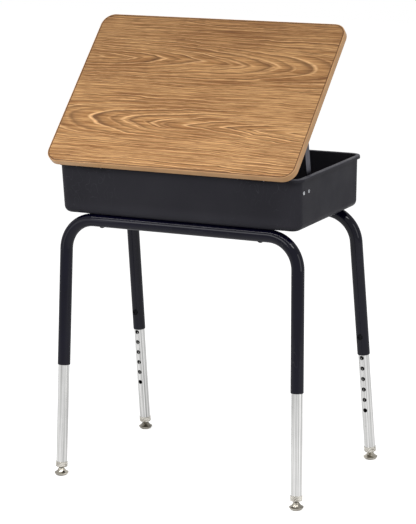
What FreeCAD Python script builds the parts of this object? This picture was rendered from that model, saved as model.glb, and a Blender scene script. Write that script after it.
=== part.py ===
"""School desk with a lift lid on a book box and two height-adjustable U frames.

Millimetres. X runs across the desk, -Y is the user's side, +Y the hinge side, Z is up and
the floor is Z = 0. The lid is modelled shut and then swung open about its hinge line.
"""
import math
import os

import FreeCAD
import Part

V = FreeCAD.Vector

# ---- lid -------------------------------------------------------------------------------
LID_WIDTH = 609.6
LID_DEPTH = 406.4
LID_CORE = 14.3
LID_TOP_SHEET = 0.9
LID_UNDER_SHEET = 0.7
LID_CORNER_RADIUS = 30.0
EDGE_BAND = 2.0
EDGE_BAND_ROUND = 1.4
LID_OPEN_ANGLE = 45.0
LID_OVER_HINGE = 4.0          # lid past the hinge line, on the hinge side
LID_GAP = 4.0                 # shut lid above the rim
LID_SIDE_OVERHANG = 7.8       # lid past the box's side walls
LID_FRONT_OVERHANG = 56.0     # lid past the box's front wall

# ---- book box --------------------------------------------------------------------------
BOX_HEIGHT = 116.0
BOX_WALL = 3.0
BOX_DRAFT = 1.5               # degrees
BOX_CORNER_RADIUS = 24.0
BOX_BOTTOM_ROUND = 15.0
RIM_OUT = 6.0
RIM_DROP = 7.0
RIM_LIP = 2.2
RIM_ROUND = 1.8

# ---- frames ----------------------------------------------------------------------------
TUBE_OD = 28.6
TUBE_WALL = 1.25
TUBE_END_HEIGHT = 256.2
TUBE_BEND_RADIUS = 70.0
TUBE_END_ROUND = 0.5
BOX_SEAT_HEIGHT = 604.0       # underside of the box above the floor
BOX_SEAT_GAP = 0.1
FRAME_INSET = 17.5            # run of each U inside the box's wall
LEG_INSET = 9.8               # leg inside the box's side wall, at the run
SPLAY_ANGLE = 5.05            # each U leans out, front and rear
LEAN_ANGLE = 0.99             # each leg leans out sideways
BOLT_FROM_BEND = 20.2

# ---- leg inserts -----------------------------------------------------------------------
INSERT_OD = 25.4
INSERT_WALL = 1.5
HOLE_PITCH = 25.4
HOLE_DIAMETER = 10.2
HOLE_COUNT = 9
HOLES_IN_VIEW = 6
FIRST_HOLE_BELOW_TUBE = 6.4
INSERT_TOP_MARGIN = 16.0
INSERT_END_HEIGHT = 21.6
CRIMP_BELOW_LAST_HOLE = 38.0
CRIMP_DIAMETER = 4.0
CRIMP_DEPTH = 0.5
FERRULE_HEIGHT = 11.0
FERRULE_WALL = 0.8
FERRULE_FLOOR = 1.2
FERRULE_EDGE = 0.5            # eased edges of the ferrule

# ---- glides ----------------------------------------------------------------------------
GLIDE_DIAMETER = 32.0
GLIDE_FLAT_DIAMETER = 17.0
GLIDE_BASE_HEIGHT = 6.4
GLIDE_BASE_SHOULDER = 1.0     # upright edge of the base, inside the cap
GLIDE_BULGE_DIAMETER = 26.0   # the base's round side at its middle
GLIDE_BULGE_HEIGHT = 1.9
SOCKET_DIAMETER = 13.0
SOCKET_TOP = 9.3
GLIDE_CAP_TOP = 18.0
GLIDE_CAP_MOUTH = 11.2
GLIDE_CAP_SKIN = 1.1
GLIDE_CAP_LIP = 0.7           # width of the cap's edge round its mouth
GLIDE_CAP_SKIRT = 2.0         # height of the cap's rim
GLIDE_WAIST_DIAMETER = 18.4
GLIDE_WAIST_HEIGHT = 12.8
BALL_DIAMETER = 8.0
BALL_HEIGHT = 7.0
BALL_CLEARANCE = 0.3
NECK_DIAMETER = 5.0
STEM_DIAMETER = 6.4
STEM_LENGTH = 34.0
STEM_COLLAR = 3.0
STEM_COLLAR_PITCH = 28.0
STEM_COLLAR_CLEARANCE = 0.05

# ---- hinges ----------------------------------------------------------------------------
HINGE_OUTSIDE = 26.4          # hinge line outside the rear wall
HINGE_FROM_SIDE = 97.0        # middle of each hinge from the side wall
HINGE_LENGTH = 60.0
HINGE_KNUCKLES = 5
HINGE_KNUCKLE_GAP = 0.4
HINGE_PIN_DIAMETER = 4.0
HINGE_KNUCKLE_WALL = 1.5
HINGE_LEAF = 1.6
HINGE_LEAF_REACH = 38.0
HINGE_LEAF_DROP = 30.0
HINGE_SCREW_ROW = 25.0        # lid screws from the hinge line
HINGE_SCREW_PITCH = 20.4
HINGE_RIVET_SPREAD = 18.0     # each rivet from the middle of its hinge
HINGE_RIVET_BELOW_RIM = 16.5
HINGE_PIN_UPSET = 0.8
RUNNING_CLEARANCE = 0.08

# ---- lid stays -------------------------------------------------------------------------
PAD_DEPTH = 6.0               # face of the flat pad from the outside of the side wall
PAD_MARGIN = 5.0
STAY_THICKNESS = 2.0
STAY_WIDTH = 20.0
STAY_TIP = 8.0                # strap past each of its holes
STAY_CORNER_RADIUS = 7.5
STAY_LENGTH = 94.0
STAY_OPEN_LEAN = 7.0          # open arm from the vertical, top towards the hinge
STAY_RATIO = 0.5              # arm turns back on the lid by this share of the lid's swing
STAY_PIVOT_BELOW_LID = 12.5
STAY_PIVOT_FROM_HINGE = 122.5
TRACK_SPACER = 2.0
TRACK_BAND = 17.0
TRACK_EAR_RADIUS = 8.0
TRACK_SLOT_CLEARANCE = 0.45
SLIDE_CLEARANCE = 0.4
SLIDE_PIN_DIAMETER = 6.0
SLIDE_HEAD_DIAMETER = 10.0
SLIDE_HEAD = 1.2
SLIDE_FRONT_DIAMETER = 9.0
LUG_LENGTH = 34.0
LUG_FLANGE = 20.0
LUG_CORNER_RADIUS = 4.0
LUG_EAR_RADIUS = 8.5
LUG_HOLE_FROM_EAR = 12.0
LUG_HOLE_SPREAD = 10.2
PIVOT_PIN_DIAMETER = 5.0
PIVOT_HEAD_DIAMETER = 8.0
PIVOT_HEAD = 1.0
TRACK_RIVET_BELOW_RIM = 34.0
TRACK_RIVETS_FROM_WALL = (32.5, 56.5)

# ---- fasteners -------------------------------------------------------------------------
RIVET_DIAMETER = 3.97         # 5/32 in
RIVET_HEAD_DIAMETER = 8.4
RIVET_HEAD = 1.4
RIVET_TAIL_DIAMETER = 7.2
RIVET_TAIL = 1.4
RIVET_COLLAR_DIAMETER = 9.6
FLUSH_HEAD_DIAMETER = 7.6
FLUSH_HEAD = 0.9
FLUSH_HEAD_CLEARANCE = 0.1
SPOT_FACE_DIAMETER = 11.5
SPOT_DEPTH = 0.25
TAIL_CLEARANCE = 0.12         # a rivet's tail off the sloped leaf under it
BOLT_DIAMETER = 6.0
BOLT_HEAD_DIAMETER = 12.0
BOLT_HEAD = 2.6
BOLT_HOLE_CLEARANCE = 0.3
BOLT_END = 1.5                # bolt past its nut
WASHER_DIAMETER = 18.0
WASHER_THICKNESS = 1.6
WASHER_BOSS = 2.5
WASHER_BOSS_MARGIN = 1.5
WASHER_CLEARANCE = 0.8        # room round the washer in the box's rounded corner
NUT_ACROSS_FLATS = 10.0
NUT_HEIGHT = 5.0
WOOD_SCREW_DIAMETER = 4.0
WOOD_SCREW_HEAD_DIAMETER = 7.6
WOOD_SCREW_HEAD = 0.7
WOOD_SCREW_LENGTH = 12.0      # into the board
LOCK_SCREW_DIAMETER = 7.8
LOCK_HEAD_DIAMETER = 10.5
LOCK_HEAD = 3.0
LOCK_NUT_DIAMETER = 13.0
LOCK_NUT_HEIGHT = 2.4
LOCK_HOLES_UP = 2             # pitches from the first hole in view up to the lock
SEAT_OVERLAP = 0.2            # a head and its shank are one piece
BUMPER_DIAMETER = 8.0
BUMPER_CLEARANCE = 0.4

# ---- worked out ------------------------------------------------------------------------
BOX_WIDTH = LID_WIDTH - 2 * LID_SIDE_OVERHANG      # outside of the walls, under the rim
BOX_DEPTH = LID_DEPTH - LID_FRONT_OVERHANG - HINGE_OUTSIDE - LID_OVER_HINGE
RIM_TOP = BOX_SEAT_HEIGHT + BOX_HEIGHT
REAR_WALL = BOX_DEPTH / 2.0
FRAME_HALF_GAP = BOX_DEPTH / 2.0 - FRAME_INSET
LEG_HALF_SPACING = BOX_WIDTH / 2.0 - LEG_INSET
BOLT_OFFSET = LEG_HALF_SPACING - TUBE_BEND_RADIUS - BOLT_FROM_BEND
HINGE_OFFSET = BOX_WIDTH / 2.0 - HINGE_FROM_SIDE
LID_UNDERSIDE = RIM_TOP + LID_GAP
LID_THICKNESS = LID_UNDER_SHEET + LID_CORE + LID_TOP_SHEET
HINGE_Y = REAR_WALL + HINGE_OUTSIDE
HINGE_Z = RIM_TOP
HINGE_LINE = V(0, HINGE_Y, HINGE_Z)
LID_REAR_EDGE = HINGE_Y + LID_OVER_HINGE
LID_MIDDLE_Y = LID_REAR_EDGE - LID_DEPTH / 2.0
RUN_HEIGHT = BOX_SEAT_HEIGHT - BOX_SEAT_GAP - TUBE_OD / 2.0
WASHER_SEAT = BOX_SEAT_HEIGHT + BOX_WALL + WASHER_BOSS
TAN_DRAFT = math.tan(math.radians(BOX_DRAFT))
PAD_FACE = BOX_WIDTH / 2.0 - PAD_DEPTH
TRACK_FACE = PAD_FACE - TRACK_SPACER
ARM_FACE = TRACK_FACE - STAY_THICKNESS - SLIDE_CLEARANCE
EAR_FACE = ARM_FACE - STAY_THICKNESS - SLIDE_CLEARANCE
KNUCKLE_RADIUS = HINGE_PIN_DIAMETER / 2.0 + RUNNING_CLEARANCE + HINGE_KNUCKLE_WALL
PIVOT_SHUT = (HINGE_Y - STAY_PIVOT_FROM_HINGE, LID_UNDERSIDE - STAY_PIVOT_BELOW_LID)
HINGE_MIDDLES = (-HINGE_OFFSET, HINGE_OFFSET)
SIDES = (("left", -1), ("right", 1))
ROWS = (("front", -1), ("rear", 1))
X_AXIS, Y_AXIS, Z_AXIS = V(1, 0, 0), V(0, 1, 0), V(0, 0, 1)
PAST = 2.0                    # how far a cutting tool runs past what it cuts


# ---- helpers ---------------------------------------------------------------------------
def rounded_outline(width, depth, radius, z, middle_y=0.0):
    """A closed wire: a rectangle with four round corners, at height z."""
    x, y = width / 2.0 - radius, depth / 2.0 - radius
    mid = radius * math.sqrt(0.5)
    edges = []
    corners = ((x, y, 1, 1), (-x, y, -1, 1), (-x, -y, -1, -1), (x, -y, 1, -1))
    arcs = []
    for cx, cy, sx, sy in corners:
        first = V(cx + sx * radius, cy + middle_y, z)
        last = V(cx, cy + sy * radius + middle_y, z)
        if sx * sy < 0:
            first, last = last, first
        centre = V(cx + sx * mid, cy + sy * mid + middle_y, z)
        arcs.append((first, centre, last))
    for i, (first, centre, last) in enumerate(arcs):
        edges.append(Part.Arc(first, centre, last).toShape())
        edges.append(Part.makeLine(last, arcs[(i + 1) % 4][0]))
    return Part.Wire(edges)


def slab(width, depth, radius, z, height, middle_y=0.0):
    """A flat plate with round corners."""
    face = Part.Face(rounded_outline(width, depth, radius, z, middle_y))
    return face.extrude(V(0, 0, height))


def cylinder(radius, start, end):
    """A round bar from start to end."""
    axis = end - start
    return Part.makeCylinder(radius, axis.Length, start, axis)


def dome(diameter, height, seat, outward):
    """A domed head: a cap of a sphere on its seat, facing outward."""
    radius = (diameter * diameter / 4.0 + height * height) / (2.0 * height)
    direction = V(outward).normalize()
    centre = seat + direction * (height - radius)
    ball = Part.makeSphere(radius, centre)
    return ball.common(cylinder(diameter / 2.0 + 1.0, seat, seat + direction * (height + 1.0)))


def turned(profile, base, axis):
    """A solid of revolution from (radius, height) points, standing on base along axis."""
    points = [V(r, 0, h) for r, h in profile]
    face = Part.Face(Part.makePolygon(points + [points[0]]))
    solid = face.revolve(V(0, 0, 0), Z_AXIS, 360)
    solid.Placement = FreeCAD.Placement(base, FreeCAD.Rotation(Z_AXIS, axis))
    return solid


def opened(shape):
    """A copy of a shape of the shut lid, swung to the open rest position."""
    copy = shape.copy()
    copy.rotate(HINGE_LINE, X_AXIS, -LID_OPEN_ANGLE)
    return copy


def swing(y, z, degrees):
    """A (y, z) point of the shut lid after the lid has opened by some degrees."""
    turn = math.radians(-degrees)
    dy, dz = y - HINGE_Y, z - HINGE_Z
    return (HINGE_Y + dy * math.cos(turn) - dz * math.sin(turn),
            HINGE_Z + dy * math.sin(turn) + dz * math.cos(turn))


def save(name, shape):
    """Write one node."""
    shape.exportStep("parts/%s.step" % name)


def group(shapes):
    """Several like solids as one node."""
    return Part.makeCompound(list(shapes))


# ---- lid panel -------------------------------------------------------------------------
def lid_panel():
    """The board, its two sheets and the band round its edge, shut."""
    width, depth = LID_WIDTH - 2 * EDGE_BAND, LID_DEPTH - 2 * EDGE_BAND
    radius = LID_CORNER_RADIUS - EDGE_BAND
    core_z = LID_UNDERSIDE + LID_UNDER_SHEET
    under = slab(width, depth, radius, LID_UNDERSIDE, LID_UNDER_SHEET, LID_MIDDLE_Y)
    core = slab(width, depth, radius, core_z, LID_CORE, LID_MIDDLE_Y)
    top = slab(width, depth, radius, core_z + LID_CORE, LID_TOP_SHEET, LID_MIDDLE_Y)
    outer = slab(LID_WIDTH, LID_DEPTH, LID_CORNER_RADIUS, LID_UNDERSIDE, LID_THICKNESS,
                 LID_MIDDLE_Y)
    rims = [e for e in outer.Edges
            if abs(e.Vertexes[0].Z - e.Vertexes[-1].Z) < 0.01]
    outer = outer.makeFillet(EDGE_BAND_ROUND, rims)
    band = outer.cut(slab(width, depth, radius, LID_UNDERSIDE - PAST, LID_THICKNESS + 2 * PAST,
                          LID_MIDDLE_Y))
    return {"lid_core": core, "lid_top_sheet": top, "lid_under_sheet": under,
            "lid_edge_band": band}


def bumper_places():
    """Where the rubber buttons meet the middle of the front rim."""
    front = -(REAR_WALL + (RIM_OUT - BOX_WALL) / 2.0)
    return [(x, front) for x in HINGE_MIDDLES]


def lid_bumpers():
    """Rubber buttons under the shut lid."""
    height = LID_GAP - BUMPER_CLEARANCE
    return group(cylinder(BUMPER_DIAMETER / 2.0, V(x, y, LID_UNDERSIDE),
                          V(x, y, LID_UNDERSIDE - height)) for x, y in bumper_places())


# ---- hinges ----------------------------------------------------------------------------
def knuckle_spans(middle, odd):
    """Start and end X of every other knuckle of one hinge."""
    pitch = HINGE_LENGTH / HINGE_KNUCKLES
    start = middle - HINGE_LENGTH / 2.0
    return [(start + i * pitch + HINGE_KNUCKLE_GAP / 2.0,
             start + (i + 1) * pitch - HINGE_KNUCKLE_GAP / 2.0)
            for i in range(HINGE_KNUCKLES) if i % 2 == odd]


def barrels(spans):
    """Knuckle tubes, not yet bored."""
    return [cylinder(KNUCKLE_RADIUS, V(a, HINGE_Y, HINGE_Z), V(b, HINGE_Y, HINGE_Z))
            for a, b in spans]


def bore_and_notch(leaf, middle, other_spans):
    """Bore the pin hole and clear the other leaf's knuckles."""
    reach = HINGE_LENGTH / 2.0 + PAST
    bore = cylinder(HINGE_PIN_DIAMETER / 2.0 + RUNNING_CLEARANCE,
                    V(middle - reach, HINGE_Y, HINGE_Z), V(middle + reach, HINGE_Y, HINGE_Z))
    leaf = leaf.cut(bore)
    for a, b in other_spans:
        notch = cylinder(KNUCKLE_RADIUS + HINGE_KNUCKLE_GAP,
                         V(a - HINGE_KNUCKLE_GAP, HINGE_Y, HINGE_Z),
                         V(b + HINGE_KNUCKLE_GAP, HINGE_Y, HINGE_Z))
        leaf = leaf.cut(notch)
    return leaf


def lid_leaf_holes(middle):
    """Screw places in a lid leaf."""
    return [(middle + k * HINGE_SCREW_PITCH, HINGE_Y - HINGE_SCREW_ROW) for k in (-1, 0, 1)]


def hinge_leaf_lid(middle):
    """The leaf screwed under the lid, shut."""
    spans, others = knuckle_spans(middle, 1), knuckle_spans(middle, 0)
    plate = Part.makeBox(HINGE_LENGTH, HINGE_LEAF_REACH, HINGE_LEAF,
                         V(middle - HINGE_LENGTH / 2.0, HINGE_Y - HINGE_LEAF_REACH,
                           LID_UNDERSIDE - HINGE_LEAF))
    leaf = plate
    for (a, b), barrel in zip(spans, barrels(spans)):
        web = Part.makeBox(b - a, KNUCKLE_RADIUS, LID_UNDERSIDE - HINGE_Z,
                           V(a, HINGE_Y - KNUCKLE_RADIUS, HINGE_Z))
        leaf = leaf.fuse(barrel).fuse(web)
    leaf = bore_and_notch(leaf, middle, others)
    for x, y in lid_leaf_holes(middle):
        leaf = leaf.cut(cylinder(WOOD_SCREW_DIAMETER / 2.0, V(x, y, LID_UNDERSIDE - HINGE_LEAF - PAST),
                                 V(x, y, LID_UNDERSIDE)))
    return leaf.removeSplitter()


def hinge_leaf_box(middle):
    """The leaf that crosses the rim and runs down inside the rear wall."""
    spans, others = knuckle_spans(middle, 0), knuckle_spans(middle, 1)
    inner = REAR_WALL - BOX_WALL
    low = RIM_TOP - HINGE_LEAF_DROP
    shift = HINGE_LEAF_DROP * TAN_DRAFT
    section = [V(0, HINGE_Y, RIM_TOP), V(0, inner, RIM_TOP), V(0, inner - shift, low),
               V(0, inner - shift - HINGE_LEAF, low), V(0, inner - HINGE_LEAF, RIM_TOP + HINGE_LEAF),
               V(0, HINGE_Y, RIM_TOP + HINGE_LEAF)]
    face = Part.Face(Part.makePolygon(section + [section[0]]))
    face.translate(V(middle - HINGE_LENGTH / 2.0, 0, 0))
    leaf = face.extrude(V(HINGE_LENGTH, 0, 0))
    for barrel in barrels(spans):
        leaf = leaf.fuse(barrel)
    leaf = bore_and_notch(leaf, middle, others)
    for x, z in box_leaf_holes(middle):
        leaf = leaf.cut(rear_wall_hole(x, z, RIVET_DIAMETER))
    return leaf.removeSplitter()


def box_leaf_holes(middle):
    """Rivet places in a box leaf."""
    z = RIM_TOP - HINGE_RIVET_BELOW_RIM
    return [(middle + k * HINGE_RIVET_SPREAD, z) for k in (-1, 1)]


def hinge_pin(middle):
    """The pin of one hinge, upset a little at both ends."""
    half = HINGE_LENGTH / 2.0
    shank = cylinder(HINGE_PIN_DIAMETER / 2.0, V(middle - half, HINGE_Y, HINGE_Z),
                     V(middle + half, HINGE_Y, HINGE_Z))
    for end, out in ((middle - half, -1), (middle + half, 1)):
        shank = shank.fuse(cylinder(KNUCKLE_RADIUS - HINGE_PIN_UPSET, V(end, HINGE_Y, HINGE_Z),
                                    V(end + out * HINGE_PIN_UPSET, HINGE_Y, HINGE_Z)))
    return shank


def rear_wall_face(z):
    """Y of the outside of the rear wall at a height."""
    return REAR_WALL - (RIM_TOP - z) * TAN_DRAFT


def rear_wall_hole(x, z, diameter, from_y=None):
    """A tool that bores the rear wall from from_y, or from inside the box, outwards."""
    start = rear_wall_face(z) - BOX_WALL - HINGE_LEAF - PAST if from_y is None else from_y
    return cylinder(diameter / 2.0, V(x, start, z), V(x, REAR_WALL + RIM_OUT, z))


def hinge_rivets():
    """Rivets through the box leaf and the rear wall, their heads flush in the wall."""
    rivets = []
    for middle in HINGE_MIDDLES:
        for x, z in box_leaf_holes(middle):
            seat = rear_wall_face(z) - FLUSH_HEAD
            inside = rear_wall_face(z) - BOX_WALL - HINGE_LEAF - TAIL_CLEARANCE
            shank = cylinder(RIVET_DIAMETER / 2.0, V(x, inside - SEAT_OVERLAP, z),
                             V(x, seat + SEAT_OVERLAP, z))
            head = cylinder(FLUSH_HEAD_DIAMETER / 2.0, V(x, seat, z), V(x, seat + FLUSH_HEAD, z))
            tail = dome(RIVET_TAIL_DIAMETER, RIVET_TAIL, V(x, inside, z), -Y_AXIS)
            rivets.append(shank.fuse(head).fuse(tail))
    return group(rivets)


# ---- lid stays -------------------------------------------------------------------------
def slide_point(degrees):
    """Where the slide pin stands, as (y, z), when the lid is open by some degrees."""
    y, z = swing(PIVOT_SHUT[0], PIVOT_SHUT[1], degrees)
    shut_share = LID_OPEN_ANGLE - degrees
    lean = math.radians(-STAY_OPEN_LEAN + shut_share * (1.0 - STAY_RATIO))
    return (y + STAY_LENGTH * math.sin(lean), z - STAY_LENGTH * math.cos(lean))


def slot_points():
    """Pin places at the two ends and the middle of the swing."""
    return [slide_point(a) for a in (LID_OPEN_ANGLE, LID_OPEN_ANGLE / 2.0, 0.0)]


def arc_band(points, width, x, thickness):
    """A plate that follows the arc through three (y, z) points, with round ends."""
    first, middle, last = [V(x, y, z) for y, z in points]
    spine = Part.Arc(first, middle, last).toShape()
    centre, radius, half = spine.Curve.Center, spine.Curve.Radius, width / 2.0

    def offset(point, distance):
        return centre + (point - centre).normalize() * (radius + distance)

    def end_tip(point):
        along = (point - centre).normalize().cross(X_AXIS)
        if along.dot(middle - point) > 0:
            along = -along
        return point + along * half

    far = Part.Arc(offset(first, half), offset(middle, half), offset(last, half))
    near = Part.Arc(offset(last, -half), offset(middle, -half), offset(first, -half))
    end = Part.Arc(offset(last, half), end_tip(last), offset(last, -half))
    start = Part.Arc(offset(first, -half), end_tip(first), offset(first, half))
    face = Part.Face(Part.Wire([arc.toShape() for arc in (far, end, near, start)]))
    return face.extrude(V(thickness, 0, 0))


def rivet_places():
    """(y, z) of the two rivets of each track."""
    z = RIM_TOP - TRACK_RIVET_BELOW_RIM
    return [(REAR_WALL - d, z) for d in TRACK_RIVETS_FROM_WALL]


def side_wall_face(z):
    """|X| of the outside of a side wall at a height."""
    return BOX_WIDTH / 2.0 - (RIM_TOP - z) * TAN_DRAFT


def on_side(shape, side):
    """A piece made for the right side, mirrored for the left."""
    return shape if side > 0 else shape.mirror(V(0, 0, 0), X_AXIS)


def stay_track():
    """The slotted plate with its riveted ear, for the right side."""
    points = slot_points()
    x = TRACK_FACE - STAY_THICKNESS
    band = arc_band(points, TRACK_BAND, x, STAY_THICKNESS)
    end_y, end_z = rivet_places()[0]
    top_y = points[0][0]
    ear = Part.makeBox(STAY_THICKNESS, end_y - top_y, 2 * TRACK_EAR_RADIUS,
                       V(x, top_y, end_z - TRACK_EAR_RADIUS))
    tip = cylinder(TRACK_EAR_RADIUS, V(x, end_y, end_z), V(TRACK_FACE, end_y, end_z))
    plate = band.fuse(ear).fuse(tip)
    slot_width = SLIDE_PIN_DIAMETER + 2 * TRACK_SLOT_CLEARANCE
    plate = plate.cut(arc_band(points, slot_width, x - PAST, STAY_THICKNESS + 2 * PAST))
    for y, z in rivet_places():
        plate = plate.cut(cylinder(RIVET_DIAMETER / 2.0, V(x - PAST, y, z), V(PAD_FACE, y, z)))
    return plate.removeSplitter()


def track_rivet(y, z):
    """One rivet through the side wall, the spacer and the track, for the right side."""
    seat = side_wall_face(z) - SPOT_DEPTH
    inside = TRACK_FACE - STAY_THICKNESS
    shank = cylinder(RIVET_DIAMETER / 2.0, V(inside - SEAT_OVERLAP, y, z),
                     V(seat + SEAT_OVERLAP, y, z))
    head = dome(RIVET_HEAD_DIAMETER, RIVET_HEAD, V(seat, y, z), X_AXIS)
    tail = dome(RIVET_TAIL_DIAMETER, RIVET_TAIL, V(inside, y, z), -X_AXIS)
    return shank.fuse(head).fuse(tail)


def track_spacer(y, z):
    """The collar between the pad and the track at one rivet, for the right side."""
    ring = cylinder(RIVET_COLLAR_DIAMETER / 2.0, V(TRACK_FACE, y, z), V(PAD_FACE, y, z))
    return ring.cut(cylinder(RIVET_DIAMETER / 2.0, V(TRACK_FACE - PAST, y, z),
                             V(PAD_FACE + PAST, y, z)))


def stay_arm():
    """The flat strap at rest, for the right side."""
    pivot = swing(PIVOT_SHUT[0], PIVOT_SHUT[1], LID_OPEN_ANGLE)
    x = ARM_FACE - STAY_THICKNESS
    strap = slab(STAY_WIDTH, STAY_LENGTH + 2 * STAY_TIP, STAY_CORNER_RADIUS, 0, STAY_THICKNESS,
                 -STAY_LENGTH / 2.0)
    for y, radius in ((0, PIVOT_PIN_DIAMETER / 2.0 + RUNNING_CLEARANCE),
                      (-STAY_LENGTH, SLIDE_PIN_DIAMETER / 2.0)):
        strap = strap.cut(cylinder(radius, V(0, y, -PAST), V(0, y, STAY_THICKNESS + PAST)))
    strap.rotate(V(0, 0, 0), X_AXIS, 90)
    strap.rotate(V(0, 0, 0), Z_AXIS, 90)
    strap.rotate(V(0, 0, 0), X_AXIS, -STAY_OPEN_LEAN)
    strap.translate(V(x, pivot[0], pivot[1]))
    return strap


def slide_pin():
    """The stud fixed in the strap that runs in the slot, for the right side."""
    y, z = slide_point(LID_OPEN_ANGLE)
    inner = ARM_FACE - STAY_THICKNESS
    behind = TRACK_FACE + SLIDE_CLEARANCE
    shank = cylinder(SLIDE_PIN_DIAMETER / 2.0, V(inner - SEAT_OVERLAP, y, z), V(behind, y, z))
    back = cylinder(SLIDE_HEAD_DIAMETER / 2.0, V(behind, y, z), V(behind + SLIDE_HEAD, y, z))
    front = dome(SLIDE_FRONT_DIAMETER, PIVOT_HEAD, V(inner, y, z), -X_AXIS)
    return shank.fuse(back).fuse(front)


def stay_lug():
    """The angle lug under the shut lid, for the right side."""
    y, z = PIVOT_SHUT
    x = EAR_FACE - STAY_THICKNESS
    ear = Part.makeBox(STAY_THICKNESS, 2 * LUG_EAR_RADIUS, LID_UNDERSIDE - z,
                       V(x, y - LUG_EAR_RADIUS, z))
    ear = ear.fuse(cylinder(LUG_EAR_RADIUS, V(x, y, z), V(EAR_FACE, y, z)))
    flange = slab(LUG_FLANGE, LUG_LENGTH, LUG_CORNER_RADIUS, LID_UNDERSIDE - STAY_THICKNESS,
                  STAY_THICKNESS, y)
    flange.translate(V(EAR_FACE - LUG_FLANGE / 2.0, 0, 0))
    lug = ear.fuse(flange)
    lug = lug.cut(cylinder(PIVOT_PIN_DIAMETER / 2.0, V(x - PAST, y, z), V(EAR_FACE + PAST, y, z)))
    for hole_x, hole_y in lug_holes():
        lug = lug.cut(cylinder(WOOD_SCREW_DIAMETER / 2.0, V(hole_x, hole_y, z),
                               V(hole_x, hole_y, LID_UNDERSIDE)))
    return lug.removeSplitter()


def lug_holes():
    """Screw places of the right lug."""
    x = EAR_FACE - LUG_HOLE_FROM_EAR
    return [(x, PIVOT_SHUT[0] + k * LUG_HOLE_SPREAD) for k in (-1, 1)]


def pivot_pin():
    """The rivet that joins strap and lug, shut, for the right side."""
    y, z = PIVOT_SHUT
    inner = EAR_FACE - STAY_THICKNESS
    outer = ARM_FACE + RUNNING_CLEARANCE
    shank = cylinder(PIVOT_PIN_DIAMETER / 2.0, V(inner - SEAT_OVERLAP, y, z),
                     V(outer + SEAT_OVERLAP, y, z))
    head = cylinder(PIVOT_HEAD_DIAMETER / 2.0, V(outer, y, z), V(outer + PIVOT_HEAD, y, z))
    tail = dome(PIVOT_HEAD_DIAMETER, PIVOT_HEAD, V(inner, y, z), -X_AXIS)
    return shank.fuse(head).fuse(tail)


def wood_screw(x, y, top):
    """A pan-head screw driven up into the shut lid; its head hangs under top."""
    head = dome(WOOD_SCREW_HEAD_DIAMETER, WOOD_SCREW_HEAD, V(x, y, top), -Z_AXIS)
    shank = cylinder(WOOD_SCREW_DIAMETER / 2.0, V(x, y, top - SEAT_OVERLAP),
                     V(x, y, LID_UNDERSIDE + WOOD_SCREW_LENGTH))
    return head.fuse(shank)


# ---- book box --------------------------------------------------------------------------
def tub(inset, floor_z, top_z):
    """A drafted tub body; inset is measured inwards from the outside of the wall."""
    def outline(z):
        cut = 2 * (inset + (RIM_TOP - z) * TAN_DRAFT)
        return rounded_outline(BOX_WIDTH - cut, BOX_DEPTH - cut, BOX_CORNER_RADIUS - inset, z)
    body = Part.makeLoft([outline(floor_z), outline(top_z)], True, True)
    low = [e for e in body.Edges if max(v.Z for v in e.Vertexes) < floor_z + 0.01]
    return body.makeFillet(BOX_BOTTOM_ROUND - inset, low)


def rim_ring():
    """The rim: a shelf that rolls over into a drop lip."""
    width, depth = BOX_WIDTH + 2 * RIM_OUT, BOX_DEPTH + 2 * RIM_OUT
    radius = BOX_CORNER_RADIUS + RIM_OUT
    ring = slab(width, depth, radius, RIM_TOP - RIM_DROP, RIM_DROP)
    top = [e for e in ring.Edges if min(v.Z for v in e.Vertexes) > RIM_TOP - 0.01]
    ring = ring.makeFillet(RIM_ROUND, top)
    groove = slab(width - 2 * RIM_LIP, depth - 2 * RIM_LIP, radius - RIM_LIP,
                  RIM_TOP - RIM_DROP - PAST, RIM_DROP + PAST - BOX_WALL)
    return ring.cut(groove)


def pad_block():
    """The flat pad inside the right wall that the track stands on."""
    points = slot_points() + rivet_places()
    ys, zs = [p[0] for p in points], [p[1] for p in points]
    reach = TRACK_BAND / 2.0 + PAD_MARGIN
    low = max(min(zs) - reach, BOX_SEAT_HEIGHT + BOX_WALL)
    high = min(max(zs) + reach, RIM_TOP - RIM_DROP)
    return Part.makeBox(PAD_DEPTH, max(ys) - min(ys) + 2 * reach, high - low,
                        V(PAD_FACE, min(ys) - reach, low))


def box_bores():
    """Tools for the rivet holes, their seats and the bolt holes of the box."""
    tools = []
    for _, side in SIDES:
        for y, z in rivet_places():
            end = V(BOX_WIDTH / 2.0 + PAST, y, z)
            hole = cylinder(RIVET_DIAMETER / 2.0, V(PAD_FACE - PAST, y, z), end)
            seat = cylinder(SPOT_FACE_DIAMETER / 2.0, V(side_wall_face(z) - SPOT_DEPTH, y, z), end)
            tools.append(on_side(hole.fuse(seat), side))
    for middle in HINGE_MIDDLES:
        for x, z in box_leaf_holes(middle):
            seat = rear_wall_hole(x, z, FLUSH_HEAD_DIAMETER + 2 * FLUSH_HEAD_CLEARANCE,
                                  rear_wall_face(z) - FLUSH_HEAD)
            tools.append(seat.fuse(rear_wall_hole(x, z, RIVET_DIAMETER)))
    for x, y in bolt_places():
        tools.append(cylinder(BOLT_DIAMETER / 2.0 + BOLT_HOLE_CLEARANCE,
                              V(x, y, BOX_SEAT_HEIGHT - PAST), V(x, y, WASHER_SEAT + PAST)))
    return tools


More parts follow.
